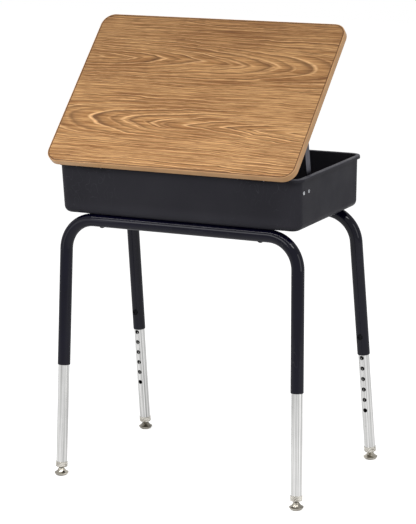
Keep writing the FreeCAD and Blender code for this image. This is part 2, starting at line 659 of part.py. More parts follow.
def book_box():
    """The moulded box with its rim, pads, washer bosses and holes."""
    outer = tub(0.0, BOX_SEAT_HEIGHT, RIM_TOP)
    mid_wall = tub(BOX_WALL / 2.0, BOX_SEAT_HEIGHT + BOX_WALL / 2.0, RIM_TOP)
    inner = tub(BOX_WALL, BOX_SEAT_HEIGHT + BOX_WALL, RIM_TOP + PAST)
    shell = outer.fuse(rim_ring()).cut(inner)
    for _, side in SIDES:
        shell = shell.fuse(on_side(pad_block(), side).common(mid_wall))
    washer = WASHER_DIAMETER / 2.0
    for x, y in bolt_places():
        seat = V(x, y, WASHER_SEAT)
        boss = cylinder(washer + WASHER_BOSS_MARGIN, V(x, y, BOX_SEAT_HEIGHT), seat)
        clear = cylinder(washer + WASHER_CLEARANCE, seat, seat + Z_AXIS * BOX_BOTTOM_ROUND)
        shell = shell.fuse(boss.common(mid_wall)).cut(clear)
    for tool in box_bores():
        shell = shell.cut(tool)
    return shell.removeSplitter()


# ---- frames ----------------------------------------------------------------------------
def bolt_places():
    """(x, y) of the four bolts that hold the box on the frames."""
    return [(sx * BOLT_OFFSET, sy * FRAME_HALF_GAP) for sx in (-1, 1) for sy in (-1, 1)]


def plane_down(row):
    """Unit vector down the plane of a U frame."""
    s = math.radians(SPLAY_ANGLE)
    return V(0, row * math.sin(s), -math.cos(s))


def inward(row):
    """Unit vector square to a U frame's plane, towards the middle of the desk."""
    s = math.radians(SPLAY_ANGLE)
    return V(0, -row * math.cos(s), -math.sin(s))


def leg_direction(row, side):
    """Unit vector down a leg."""
    return (plane_down(row) + X_AXIS * (side * math.tan(math.radians(LEAN_ANGLE)))).normalize()


def run_corner(row, side):
    """Where the leg's line meets the run's line."""
    return V(side * LEG_HALF_SPACING, row * FRAME_HALF_GAP, RUN_HEIGHT)


def leg_point(row, side, height):
    """The point of a leg's axis at a height above the floor."""
    corner, down = run_corner(row, side), leg_direction(row, side)
    return corner + down * ((height - corner.z) / down.z)


def tube_path(row):
    """The centre line of a U frame: leg, bend, run, bend, leg."""
    turn = math.radians(90.0 - LEAN_ANGLE)
    setback = TUBE_BEND_RADIUS * math.tan(turn / 2.0)
    edges = []
    starts = {}
    for side in (-1, 1):
        corner, down = run_corner(row, side), leg_direction(row, side)
        low, high = corner + down * setback, corner - X_AXIS * (side * setback)
        bisector = (down - X_AXIS * side).normalize()
        centre = corner + bisector * (TUBE_BEND_RADIUS / math.cos(turn / 2.0))
        middle = centre - bisector * TUBE_BEND_RADIUS
        starts[side] = (leg_point(row, side, TUBE_END_HEIGHT), low, middle, high)
    end, low, middle, high = starts[-1]
    edges.append(Part.makeLine(end, low))
    edges.append(Part.Arc(low, middle, high).toShape())
    end_r, low_r, middle_r, high_r = starts[1]
    edges.append(Part.makeLine(high, high_r))
    edges.append(Part.Arc(high_r, middle_r, low_r).toShape())
    edges.append(Part.makeLine(low_r, end_r))
    return Part.Wire(edges)


def swept(path, radius):
    """A round bar along a path."""
    first = path.Edges[0]
    start = first.valueAt(first.FirstParameter)
    direction = first.tangentAt(first.FirstParameter)
    ring = Part.Wire([Part.makeCircle(radius, start, direction)])
    return path.makePipeShell([ring], True, False)


def u_frame(row):
    """One bent tube with its bolt holes and lock-screw holes."""
    path = tube_path(row)
    tube = swept(path, TUBE_OD / 2.0)
    ends = [e for e in tube.Edges if isinstance(e.Curve, Part.Circle)
            and abs(e.CenterOfMass.z - TUBE_END_HEIGHT) < 1.0]
    tube = tube.makeFillet(TUBE_END_ROUND, ends)
    tube = tube.cut(swept(path, TUBE_OD / 2.0 - TUBE_WALL))
    for x, y in bolt_places():
        if y * row > 0:
            tube = tube.cut(cylinder(BOLT_DIAMETER / 2.0 + BOLT_HOLE_CLEARANCE,
                                     V(x, y, RUN_HEIGHT - TUBE_OD), V(x, y, RUN_HEIGHT + TUBE_OD)))
    for _, side in SIDES:
        at = lock_point(row, side)
        tube = tube.cut(cylinder(LOCK_SCREW_DIAMETER / 2.0, at, at + inward(row) * TUBE_OD))
    return tube


def frame_bolt(x, y):
    """A domed bolt from under the tube up into the box."""
    seat = RUN_HEIGHT - TUBE_OD / 2.0
    top = WASHER_SEAT + WASHER_THICKNESS + NUT_HEIGHT + BOLT_END
    head = dome(BOLT_HEAD_DIAMETER, BOLT_HEAD, V(x, y, seat), -Z_AXIS)
    return head.fuse(cylinder(BOLT_DIAMETER / 2.0, V(x, y, seat - SEAT_OVERLAP), V(x, y, top)))


def frame_washer(x, y):
    """The wide washer inside the box."""
    low, high = V(x, y, WASHER_SEAT), V(x, y, WASHER_SEAT + WASHER_THICKNESS)
    ring = cylinder(WASHER_DIAMETER / 2.0, low, high)
    return ring.cut(cylinder(BOLT_DIAMETER / 2.0, low, high))


def frame_nut(x, y):
    """The hexagon nut inside the box."""
    low = WASHER_SEAT + WASHER_THICKNESS
    corner = NUT_ACROSS_FLATS / math.sqrt(3.0)
    turns = [math.radians(60 * k) for k in range(6)]
    points = [V(x + corner * math.cos(t), y + corner * math.sin(t), low) for t in turns]
    nut = Part.Face(Part.makePolygon(points + [points[0]])).extrude(V(0, 0, NUT_HEIGHT))
    return nut.cut(cylinder(BOLT_DIAMETER / 2.0, V(x, y, low), V(x, y, low + NUT_HEIGHT)))


# ---- leg inserts and locks -------------------------------------------------------------
def hole_point(row, side, index):
    """A hole's point on the leg's axis; index 0 is the first one below the tube."""
    start = leg_point(row, side, TUBE_END_HEIGHT)
    return start + leg_direction(row, side) * (FIRST_HOLE_BELOW_TUBE + index * HOLE_PITCH)


def lock_point(row, side):
    """The leg's axis at the lock screw, some holes up inside the tube."""
    return hole_point(row, side, -LOCK_HOLES_UP)


def lock_nut(row, side):
    """The round clinch nut on the inner side of the tube."""
    at, out = lock_point(row, side), inward(row)
    nut = cylinder(LOCK_NUT_DIAMETER / 2.0, at, at + out * (TUBE_OD / 2.0 + LOCK_NUT_HEIGHT))
    along = leg_direction(row, side) * LOCK_NUT_DIAMETER
    nut = nut.cut(cylinder(TUBE_OD / 2.0, at - along, at + along))
    return nut.cut(cylinder(LOCK_SCREW_DIAMETER / 2.0, at, at + out * TUBE_OD))


def lock_screw(row, side):
    """The lock screw, backed off so that its tip is flush with the tube's bore."""
    at, out = lock_point(row, side), inward(row)
    seat = TUBE_OD / 2.0 + LOCK_NUT_HEIGHT
    shank = cylinder(LOCK_SCREW_DIAMETER / 2.0, at + out * (TUBE_OD / 2.0 - TUBE_WALL),
                     at + out * (seat + SEAT_OVERLAP))
    return shank.fuse(dome(LOCK_HEAD_DIAMETER, LOCK_HEAD, at + out * seat, out))


def insert_low_end(row, side):
    """The lower end of an insert's axis."""
    return leg_point(row, side, INSERT_END_HEIGHT)


def leg_insert(row, side):
    """The chromed inner tube with its row of holes and the crimp of its end plug."""
    down, out = leg_direction(row, side), inward(row)
    high = hole_point(row, side, HOLES_IN_VIEW - HOLE_COUNT) - down * INSERT_TOP_MARGIN
    low = insert_low_end(row, side)
    surface = INSERT_OD / 2.0
    tube = cylinder(surface, high, low).cut(cylinder(surface - INSERT_WALL, high, low))
    for k in range(HOLES_IN_VIEW - HOLE_COUNT, HOLES_IN_VIEW):
        at = hole_point(row, side, k)
        tube = tube.cut(cylinder(HOLE_DIAMETER / 2.0, at, at + out * INSERT_OD))
    crimp = hole_point(row, side, HOLES_IN_VIEW - 1) + down * CRIMP_BELOW_LAST_HOLE
    return tube.cut(cylinder(CRIMP_DIAMETER / 2.0, crimp + out * (surface - CRIMP_DEPTH),
                             crimp + out * (surface + PAST)))


def leg_ferrule(row, side):
    """The band on the end of an insert, closed below round the stem."""
    low, up = insert_low_end(row, side), -leg_direction(row, side)
    outer, inner, stem = INSERT_OD / 2.0 + FERRULE_WALL, INSERT_OD / 2.0, STEM_DIAMETER / 2.0
    profile = [(stem, -FERRULE_FLOOR), (outer - FERRULE_EDGE, -FERRULE_FLOOR),
               (outer, FERRULE_EDGE - FERRULE_FLOOR), (outer, FERRULE_HEIGHT - FERRULE_EDGE),
               (outer - FERRULE_EDGE, FERRULE_HEIGHT), (inner, FERRULE_HEIGHT), (inner, 0),
               (stem, 0)]
    return turned(profile, low, up)


def ball_centre(row, side):
    """The centre of a glide's ball, on the leg's axis."""
    return leg_point(row, side, BALL_HEIGHT)


def glide_stem(row, side):
    """The necked, ball-ended stem and the collars that hold it in the insert."""
    ball, up = ball_centre(row, side), -leg_direction(row, side)
    low = insert_low_end(row, side)
    stem = cylinder(STEM_DIAMETER / 2.0, low - up * FERRULE_FLOOR, low + up * STEM_LENGTH)
    stem = stem.fuse(cylinder(NECK_DIAMETER / 2.0, ball, low))
    stem = stem.fuse(Part.makeSphere(BALL_DIAMETER / 2.0, ball))
    radius = INSERT_OD / 2.0 - INSERT_WALL - STEM_COLLAR_CLEARANCE
    for offset in (0.0, STEM_COLLAR_PITCH):
        start = low + up * offset
        stem = stem.fuse(cylinder(radius, start, start + up * STEM_COLLAR))
    return stem


def revolved(edges, base):
    """A solid of revolution about the upright line through base."""
    solid = Part.Face(Part.Wire(edges)).revolve(V(0, 0, 0), Z_AXIS, 360)
    solid.translate(V(base.x, base.y, 0))
    return solid


def line(first, last):
    """A straight edge between two (radius, height) points."""
    return Part.makeLine(V(first[0], 0, first[1]), V(last[0], 0, last[1]))


def bow(first, middle, last):
    """A round edge through three (radius, height) points."""
    return Part.Arc(*[V(r, 0, h) for r, h in (first, middle, last)]).toShape()


def glide_cap(row, side):
    """The flared nickel cap over the glide's base."""
    rim, mouth, skin = GLIDE_DIAMETER / 2.0, GLIDE_CAP_MOUTH / 2.0, GLIDE_CAP_SKIN
    waist = GLIDE_WAIST_DIAMETER / 2.0
    rim_top = GLIDE_BASE_HEIGHT + skin
    rim_low = rim_top - GLIDE_CAP_SKIRT
    top, top_outer = (mouth, GLIDE_CAP_TOP), (mouth + GLIDE_CAP_LIP, GLIDE_CAP_TOP)
    under = (rim - skin, GLIDE_BASE_HEIGHT)
    edges = [line(top, top_outer),
             bow(top_outer, (waist, GLIDE_WAIST_HEIGHT), (rim, rim_top)),
             line((rim, rim_top), (rim, rim_low)),
             line((rim, rim_low), (rim - skin, rim_low)),
             line((rim - skin, rim_low), under),
             bow(under, (waist - skin, GLIDE_WAIST_HEIGHT - skin / 2.0), (mouth, GLIDE_CAP_TOP - skin)),
             line((mouth, GLIDE_CAP_TOP - skin), top)]
    return revolved(edges, ball_centre(row, side))


def glide_base(row, side):
    """The nylon base, flat on the floor, with the socket that holds the ball."""
    ball = ball_centre(row, side)
    rim, flat = GLIDE_DIAMETER / 2.0 - GLIDE_CAP_SKIN, GLIDE_FLAT_DIAMETER / 2.0
    socket = SOCKET_DIAMETER / 2.0
    shoulder = GLIDE_BASE_HEIGHT - GLIDE_BASE_SHOULDER
    points = [(rim, shoulder), (rim, GLIDE_BASE_HEIGHT), (socket, GLIDE_BASE_HEIGHT),
              (socket, SOCKET_TOP), (0, SOCKET_TOP), (0, 0), (flat, 0)]
    edges = [line(a, b) for a, b in zip(points, points[1:])]
    edges.append(bow((flat, 0), (GLIDE_BULGE_DIAMETER / 2.0, GLIDE_BULGE_HEIGHT), (rim, shoulder)))
    base = revolved(edges, ball)
    return base.cut(Part.makeSphere(BALL_DIAMETER / 2.0 + BALL_CLEARANCE, ball))


# ---- build -----------------------------------------------------------------------------
def build_lid():
    """Write the lid and what moves with it."""
    nodes = lid_panel()
    hinge_screws = [wood_screw(x, y, LID_UNDERSIDE - HINGE_LEAF)
                    for middle in HINGE_MIDDLES for x, y in lid_leaf_holes(middle)]
    screws = [on_side(wood_screw(x, y, LID_UNDERSIDE - STAY_THICKNESS), side)
              for _, side in SIDES for x, y in lug_holes()]
    for screw in hinge_screws + screws:
        nodes["lid_core"] = nodes["lid_core"].cut(screw)
        nodes["lid_under_sheet"] = nodes["lid_under_sheet"].cut(screw)
    nodes["hinge_leaf_lid"] = group(hinge_leaf_lid(m) for m in HINGE_MIDDLES)
    nodes["hinge_lid_screws"] = group(hinge_screws)
    nodes["stay_lug_screws"] = group(screws)
    nodes["stay_pivot_pins"] = group(on_side(pivot_pin(), side) for _, side in SIDES)
    nodes["lid_bumpers"] = lid_bumpers()
    for name, side in SIDES:
        nodes["stay_lug_" + name] = on_side(stay_lug(), side)
    for name, shape in nodes.items():
        save(name, opened(shape))


def build_stays():
    """Write the straps, their studs and their tracks."""
    for name, side in SIDES:
        save("stay_arm_" + name, on_side(stay_arm(), side))
        save("stay_slide_pin_" + name, on_side(slide_pin(), side))
        save("stay_track_" + name, on_side(stay_track(), side))
    places = [(side, y, z) for _, side in SIDES for y, z in rivet_places()]
    save("stay_track_rivets", group(on_side(track_rivet(y, z), side) for side, y, z in places))
    save("stay_track_spacers", group(on_side(track_spacer(y, z), side) for side, y, z in places))


def build_stand():
    """Write the box, its hinge leaves and the two frames."""
    save("book_box", book_box())
    save("hinge_leaf_box", group(hinge_leaf_box(m) for m in HINGE_MIDDLES))
    save("hinge_pins", group(hinge_pin(m) for m in HINGE_MIDDLES))
    save("hinge_rivets", hinge_rivets())
    for name, row in ROWS:
        save("frame_" + name, u_frame(row))
    save("frame_bolts", group(frame_bolt(x, y) for x, y in bolt_places()))
    save("frame_washers", group(frame_washer(x, y) for x, y in bolt_places()))
    save("frame_nuts", group(frame_nut(x, y) for x, y in bolt_places()))
    legs = [(row, side) for _, row in ROWS for _, side in SIDES]
    save("lock_nuts", group(lock_nut(row, side) for row, side in legs))
    save("lock_screws", group(lock_screw(row, side) for row, side in legs))


def build_legs():
    """Write the four inserts with their ferrules and glides."""
    for row_name, row in ROWS:
        for side_name, side in SIDES:
            place = "_%s_%s" % (row_name, side_name)
            save("leg_insert" + place, leg_insert(row, side))
            save("leg_ferrule" + place, leg_ferrule(row, side))
            save("glide_stem" + place, glide_stem(row, side))
            save("glide_cap" + place, glide_cap(row, side))
            save("glide_base" + place, glide_base(row, side))


def main():
    """Write every node."""
    os.makedirs("parts", exist_ok=True)
    build_lid()
    build_stays()
    build_stand()
    build_legs()


main()
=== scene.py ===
"""Looks of a school desk with a lift lid: finishes, fastener details, studio and camera.

Metres. X runs across the desk, -Y is the user's side, +Y the hinge side, Z is up.
"""
import logging
import math
from dataclasses import dataclass, replace
from enum import Enum
from typing import Mapping, Optional, Sequence, Union

import bmesh
import bpy
from mathutils import Matrix, Vector


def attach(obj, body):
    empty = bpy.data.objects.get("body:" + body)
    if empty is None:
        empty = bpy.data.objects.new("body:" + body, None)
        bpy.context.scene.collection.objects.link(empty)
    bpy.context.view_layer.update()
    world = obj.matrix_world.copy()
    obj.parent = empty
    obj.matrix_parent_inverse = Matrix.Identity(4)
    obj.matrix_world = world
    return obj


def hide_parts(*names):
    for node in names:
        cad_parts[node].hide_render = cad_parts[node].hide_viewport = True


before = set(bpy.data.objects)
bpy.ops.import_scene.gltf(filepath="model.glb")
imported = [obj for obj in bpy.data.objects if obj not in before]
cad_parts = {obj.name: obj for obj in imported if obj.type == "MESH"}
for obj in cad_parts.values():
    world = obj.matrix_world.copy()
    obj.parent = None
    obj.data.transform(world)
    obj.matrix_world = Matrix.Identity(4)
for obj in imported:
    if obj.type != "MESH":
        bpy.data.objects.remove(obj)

LOG = logging.getLogger("school_desk")
Triple = tuple[float, float, float]
Colour = Triple
Range = tuple[float, float]
Socket = bpy.types.NodeSocket
Value = Union[float, Sequence[float], Socket]

WHITE: Colour = (1.0, 1.0, 1.0)
DOWN: Triple = (0.0, 0.0, -1.0)
UP: Triple = (0.0, 0.0, 1.0)
SAME_PLACE: float = 1e-7
TINY: float = 1e-9
SHARP_EDGE: float = math.radians(35.0)


class Side(Enum):
    """The two ends of the desk, by the sign of X."""

    LEFT = -1
    RIGHT = 1


class Row(Enum):
    """The two U frames, by the sign of Y."""

    FRONT = -1
    REAR = 1


@dataclass(frozen=True)
class HingeLine:
    """Where the lid turns, and how far it stands open at rest."""

    y: float = 0.1864
    z: float = 0.720
    lid_gap: float = 0.004
    open_angle: float = math.radians(45.0)

    def shut_offset(self) -> Vector:
        """Return the shift that follows the turn from the open lid to the shut one."""
        turn = Matrix.Rotation(self.open_angle, 3, "X")
        point = Vector((0.0, self.y, self.z))
        return point - turn @ point

    def opened_direction(self, direction: Vector) -> Vector:
        """Return a direction of the shut lid, turned with the lid to its open place."""
        return Matrix.Rotation(-self.open_angle, 3, "X") @ direction

    def opened(self, point: Vector) -> Vector:
        """Return where a point of the shut lid is when the lid stands open."""
        pivot = Vector((0.0, self.y, self.z))
        return pivot + self.opened_direction(point - pivot)

    def screw_seat(self, across: float, from_hinge: float, steel: float) -> tuple[Vector, Vector]:
        """Return where a screw's head sits on a steel part under the open lid.

        Args:
            across: Place along X.
            from_hinge: Distance from the hinge line towards the user.
            steel: Thickness of the part.

        Returns:
            The seat, and the direction away from the lid.
        """
        shut = Vector((across, self.y - from_hinge, self.z + self.lid_gap - steel))
        return self.opened(shut), self.opened_direction(Vector(DOWN))


HINGE = HingeLine()


# ---- node trees ------------------------------------------------------------------------
class Nodes:
    """Adds and joins the nodes of one shader tree."""

    def __init__(self, tree: bpy.types.NodeTree) -> None:
        """Keep the tree that nodes go into.

        Args:
            tree: The tree of a material or a world, or a node group.
        """
        self.tree = tree

    @classmethod
    def emptied(cls, owner: Union[bpy.types.Material, bpy.types.World]) -> "Nodes":
        """Return the nodes of a material or a world, with its first ones taken out."""
        owner.use_nodes = True
        owner.node_tree.nodes.clear()
        return cls(owner.node_tree)

    def put(self, socket: Socket, value: Value) -> None:
        """Join an input to another node's output, or give it a value.

        Args:
            socket: The input.
            value: An output, a number, a vector or a colour without alpha.
        """
        if isinstance(value, Socket):
            self.tree.links.new(value, socket)
        elif socket.type == "RGBA":
            socket.default_value = (*value, 1.0)
        else:
            socket.default_value = value

    def add(self, kind: str, inputs: Optional[Mapping[Union[str, int], Value]] = None,
            **settings: object) -> bpy.types.Node:
        """Add a node.

        Args:
            kind: The node's type name without its ShaderNode prefix.
            inputs: Values or sockets by input name or index.
            settings: Attributes of the node.

        Returns:
            The new node.
        """
        node = self.tree.nodes.new("ShaderNode" + kind)
        for name, value in settings.items():
            setattr(node, name, value)
        for key, value in (inputs or {}).items():
            self.put(node.inputs[key], value)
        return node

    def math(self, operation: str, a: Value, b: Value = 0.0) -> Socket:
        """Return the result of one operation on two values."""
        return self.add("Math", {0: a, 1: b}, operation=operation).outputs[0]

    def plus(self, a: Value, b: Value) -> Socket:
        """Return the sum of two values."""
        return self.math("ADD", a, b)

    def minus(self, a: Value, b: Value) -> Socket:
        """Return what is left of a without b."""
        return self.math("SUBTRACT", a, b)

    def times(self, a: Value, b: Value) -> Socket:
        """Return the product of two values."""
        return self.math("MULTIPLY", a, b)

    def away(self, value: Value, middle: float) -> Socket:
        """Return how far a value is from a middle, either way."""
        return self.math("ABSOLUTE", self.minus(value, middle))

    def shared(self, a: Value, b: Value, part: float) -> Socket:
        """Return the sum of a part of a and the other part of b."""
        return self.plus(self.times(a, part), self.times(b, 1.0 - part))

    def spread(self, value: Value, low: Value, high: Value, start: float = 0.0,
               end: float = 1.0) -> Socket:
        """Return a value moved from the range start..end to low..high, clamped."""
        return self.add("MapRange", {"Value": value, "From Min": start, "From Max": end,
                                     "To Min": low, "To Max": high}).outputs["Result"]

    def blend(self, factor: Value, a: Value, b: Value) -> Socket:
        """Return colour a changed towards colour b by a factor."""
        return self.add("Mix", {0: factor, 6: a, 7: b}, data_type="RGBA").outputs[2]

    def split(self, vector: Value) -> Sequence[Socket]:
        """Return the three parts of a vector."""
        return self.add("SeparateXYZ", {0: vector}).outputs

    def noise(self, vector: Value, scale: Value, detail: float = 3.0,
              rough: float = 0.5) -> Socket:
        """Return cloudy noise between nought and one."""
        return self.add("TexNoise", {"Vector": vector, "Scale": scale, "Detail": detail,
                                     "Roughness": rough}).outputs[0]

    def mapped(self, vector: Value, scale: Triple = (1.0, 1.0, 1.0),
               turn: Triple = (0.0, 0.0, 0.0),
               shift: Sequence[float] = (0.0, 0.0, 0.0)) -> Socket:
        """Return coordinates stretched, turned and then shifted."""
        return self.add("Mapping", {"Vector": vector, "Location": shift, "Rotation": turn,
                                    "Scale": scale}).outputs[0]

    def bump(self, height: Socket, strength: float, depth: float) -> Socket:
        """Return a normal pushed about by a height."""
        return self.add("Bump", {"Height": height, "Strength": strength,
                                 "Distance": depth}).outputs[0]

    def seen_by(self, *rays: str) -> Socket:
        """Return one where a camera ray or a ray of a named kind arrives, else nought."""
        path = self.add("LightPath").outputs
        found = path["Is Camera Ray"]
        for ray in rays:
            found = self.math("MAXIMUM", found, path["Is " + ray + " Ray"])
        return found


@dataclass(frozen=True)
class Cloud:
    """Cloudy noise, drawn out by a number of waves per metre along each axis."""

    waves: Triple
    detail: float
    rough: float = 0.5
    shift: Triple = (0.0, 0.0, 0.0)

    def over(self, nodes: Nodes, vector: Socket) -> Socket:
        """Return the noise over coordinates, between nought and one."""
        drawn_out = nodes.mapped(vector, self.waves, shift=self.shift)
        return nodes.noise(drawn_out, 1.0, self.detail, self.rough)


# ---- shared effects --------------------------------------------------------------------
class Effect:
    """One shared surface effect, kept as a node group that is built once.

    Each kind sets the group's name, its number inputs with their defaults and its outputs,
    names its own numbers, and adds its inner nodes in fill.
    """

    name: str
    inputs: dict[str, float] = {}
    outputs: tuple[str, ...] = ("Value",)

    def __init__(self) -> None:
        """Start without a node group."""
        self.tree: Optional[bpy.types.NodeTree] = None

    def fill(self, nodes: Nodes, given: Mapping[str, Socket]) -> tuple[Socket, ...]:
        """Add the inner nodes.

        Args:
            nodes: The group's tree.
            given: The group's inputs by name; Vector holds the coordinates.

        Returns:
            A socket for each output, in their order.
        """
        raise NotImplementedError

    def build(self) -> bpy.types.NodeTree:
        """Return the group's tree, made at its first use."""
        if self.tree is None:
            self.tree = bpy.data.node_groups.new(self.name, "ShaderNodeTree")
            made = self.tree.interface.new_socket
            made(name="Vector", in_out="INPUT", socket_type="NodeSocketVector")
            for name, default in self.inputs.items():
                socket = made(name=name, in_out="INPUT", socket_type="NodeSocketFloat")
                socket.default_value = default
            for name in self.outputs:
                made(name=name, in_out="OUTPUT", socket_type="NodeSocketFloat")
            nodes = Nodes(self.tree)
            start = self.tree.nodes.new("NodeGroupInput")
            end = self.tree.nodes.new("NodeGroupOutput")
            for name, socket in zip(self.outputs, self.fill(nodes, start.outputs)):
                nodes.put(end.inputs[name], socket)
        return self.tree

    def place(self, nodes: Nodes, **values: Value) -> Sequence[Socket]:
        """Put the group into a tree with its own values.

        Args:
            nodes: The tree to add to.
            values: Values or sockets by input name.

        Returns:
            The group's outputs.
        """
        return nodes.add("Group", values, node_tree=self.build()).outputs


class Mottle(Effect):
    """Cloudy change between two values."""

    name = "mottle"
    inputs = {"Scale": 5.0, "Low": 0.0, "High": 1.0}
    detail: float = 4.0
    contrast: Range = (0.32, 0.68)

    def fill(self, nodes: Nodes, given: Mapping[str, Socket]) -> tuple[Socket, ...]:
        """Spread soft noise between the two values."""
        cloud = nodes.noise(given["Vector"], given["Scale"], self.detail)
        return (nodes.spread(cloud, given["Low"], given["High"], *self.contrast),)


class Scuffs(Effect):
    """Sparse hair scratches that gather in patches."""

    name = "hair scratches"
    inputs = {"Amount": 1.0}
    outputs = ("Mask",)
    stretch: Triple = (1.0, 6.0, 0.6)
    turn: Triple = (0.3, 0.5, 0.4)
    scale: float = 55.0
    detail: float = 1.0
    hair: float = 0.012
    patch_scale: float = 9.0
    patch_contrast: Range = (0.52, 0.66)

    def fill(self, nodes: Nodes, given: Mapping[str, Socket]) -> tuple[Socket, ...]:
        """Keep the thin lines at the middle of a noise, within patches of another."""
        vector = given["Vector"]
        lines = nodes.noise(nodes.mapped(vector, self.stretch, self.turn), self.scale, self.detail)
        thin = nodes.spread(nodes.away(lines, 0.5), 1.0, 0.0, 0.0, self.hair)
        patch = nodes.spread(nodes.noise(vector, self.patch_scale), 0.0, 1.0, *self.patch_contrast)
        return (nodes.times(nodes.times(thin, patch), given["Amount"]),)


class Skin(Effect):
    """Fine texture of a moulded or sprayed skin, as a height."""

    name = "skin texture"
    inputs = {"Scale": 900.0}
    outputs = ("Height",)
    detail: float = 2.0
    noise_part: float = 0.6

    def fill(self, nodes: Nodes, given: Mapping[str, Socket]) -> tuple[Socket, ...]:
        """Add fine noise to small cells."""
        vector, scale = given["Vector"], given["Scale"]
        fine = nodes.noise(vector, scale, self.detail)
        cells = nodes.add("TexVoronoi", {"Vector": vector, "Scale": scale}).outputs["Distance"]
        return (nodes.shared(fine, cells, self.noise_part),)


class DrawnLines(Effect):
    """Lines along Z, as drawn or rolled metal has."""

    name = "drawn lines"
    stretch: Triple = (1.0, 1.0, 0.006)
    fine_scale: float = 800.0
    fine_rough: float = 0.6
    fine_part: float = 0.45
    broad_scale: float = 230.0
    detail: float = 2.0
    contrast: Range = (0.40, 0.64)

    def fill(self, nodes: Nodes, given: Mapping[str, Socket]) -> tuple[Socket, ...]:
        """Add a fine and a broad noise, both drawn out along Z."""
        vector = nodes.mapped(given["Vector"], self.stretch)
        fine = nodes.noise(vector, self.fine_scale, self.detail, self.fine_rough)
        broad = nodes.noise(vector, self.broad_scale, self.detail)
        both = nodes.shared(fine, broad, self.fine_part)
        return (nodes.spread(both, 0.0, 1.0, *self.contrast),)


class PlainSawn(Effect):
    """Growth lines of rows of nested arches, on the shut lid's coordinates.

    Row is the Y of one row of arches, Row Pitch the distance between rows, and Density the
    number of growth lines in a metre.
    """

    name = "plain-sawn growth lines"
    inputs = {"Row": 0.074, "Row Pitch": 0.171, "Density": 128.0}
    outputs = ("Line", "Ridge", "Streak", "Pore", "Tone")
    # A slow and a quick waver of the lines, and how far each moves them.
    wander: Cloud = Cloud((1.7, 8.0, 1.0), 2.0)
    wander_across: float = 0.040
    wander_turns: float = 1.6
    ripple: Cloud = Cloud((13.0, 50.0, 1.0), 3.0)
    ripple_across: float = 0.011
    # An arch's radius on its row at X = 0, its growth along X, and how round an arch is.
    arch_middle: float = 0.046
    arch_slope: float = 0.13
    arch_part: float = 0.7
    # Where the broad lines are weak or strong.
    patches: Cloud = Cloud((3.0, 26.0, 1.0), 2.0)
    patch_strength: Range = (0.30, 1.0)
    patch_contrast: Range = (0.40, 0.58)
    # Broad and fine lines: how many for one growth line, and how sharp they darken.
    line_sets: tuple[Range, ...] = ((1.0, 8.0), (1.7, 4.0))
    line_end: Range = (0.88, 1.0)
    fine_lines: float = 0.75
    # The pale ridge behind each dark line.
    ridge_at: float = 0.08
    ridge_half_width: float = 0.09
    fine_ridges: Range = (0.55, 0.15)
    streaks: Cloud = Cloud((8.0, 270.0, 1.0), 4.0, 0.72)
    pores: Cloud = Cloud((30.0, 900.0, 1.0), 2.0, 0.6)
    tones: Cloud = Cloud((2.6, 15.0, 1.0), 4.0, shift=(3.0, 5.0, 0.0))

    def _turns(self, nodes: Nodes, given: Mapping[str, Socket]) -> Socket:
        """Return how many growth lines lie between a place and the heart of its arch."""
        vector, pitch = given["Vector"], given["Row Pitch"]
        wander = nodes.minus(self.wander.over(nodes, vector), 0.5)
        ripple = nodes.minus(self.ripple.over(nodes, vector), 0.5)
        x, y, _ = nodes.split(vector)
        shift = nodes.plus(nodes.times(wander, self.wander_across),
                           nodes.times(ripple, self.ripple_across))
        across = nodes.plus(nodes.minus(y, given["Row"]), shift)
        near = nodes.math("PINGPONG", across, pitch)
        to_row = nodes.math("MINIMUM", near, nodes.minus(pitch, near))
        lean = nodes.minus(1.0, nodes.times(nodes.math("DIVIDE", near, pitch), 2.0))
        rise = nodes.plus(self.arch_middle, nodes.times(nodes.times(x, lean), self.arch_slope))
        rise = nodes.math("MAXIMUM", rise, 0.0)
        arch = nodes.math("SQRT", nodes.plus(nodes.math("POWER", to_row, 2.0),
                                             nodes.math("POWER", rise, 2.0)))
        radius = nodes.shared(arch, to_row, self.arch_part)
        return nodes.plus(nodes.times(radius, given["Density"]),
                          nodes.times(wander, self.wander_turns))

    def fill(self, nodes: Nodes, given: Mapping[str, Socket]) -> tuple[Socket, ...]:
        """Draw two sets of dark lines with pale ridges, and add streaks, pores and tone."""
        vector = given["Vector"]
        turns = self._turns(nodes, given)
        strength = nodes.spread(self.patches.over(nodes, vector), *self.patch_strength,
                                *self.patch_contrast)
        dark, pale = [], []
        for count, sharpness in self.line_sets:
            phase = nodes.math("FRACT", nodes.times(turns, count))
            dark.append(nodes.times(nodes.math("POWER", phase, sharpness),
                                    nodes.spread(phase, 1.0, 0.0, *self.line_end)))
            pale.append(nodes.minus(1.0, nodes.spread(
                nodes.away(phase, self.ridge_at), 0.0, 1.0, 0.0, self.ridge_half_width)))
        line = nodes.plus(nodes.times(dark[0], strength), nodes.times(dark[1], self.fine_lines))
        ridge = nodes.plus(nodes.times(pale[0], strength),
                           nodes.times(pale[1], nodes.spread(strength, *self.fine_ridges)))
        return (line, ridge, self.streaks.over(nodes, vector), self.pores.over(nodes, vector),
                self.tones.over(nodes, vector))


MOTTLE, SCUFFS, SKIN, DRAWN, PLAIN_SAWN = Mottle(), Scuffs(), Skin(), DrawnLines(), PlainSawn()


# ---- finishes --------------------------------------------------------------------------
def lifted(colour: Colour, gain: float, more: float) -> Colour:
    """Return a colour made paler by a gain and a small amount on top."""
    return tuple(min(1.0, gain * part + more) for part in colour)


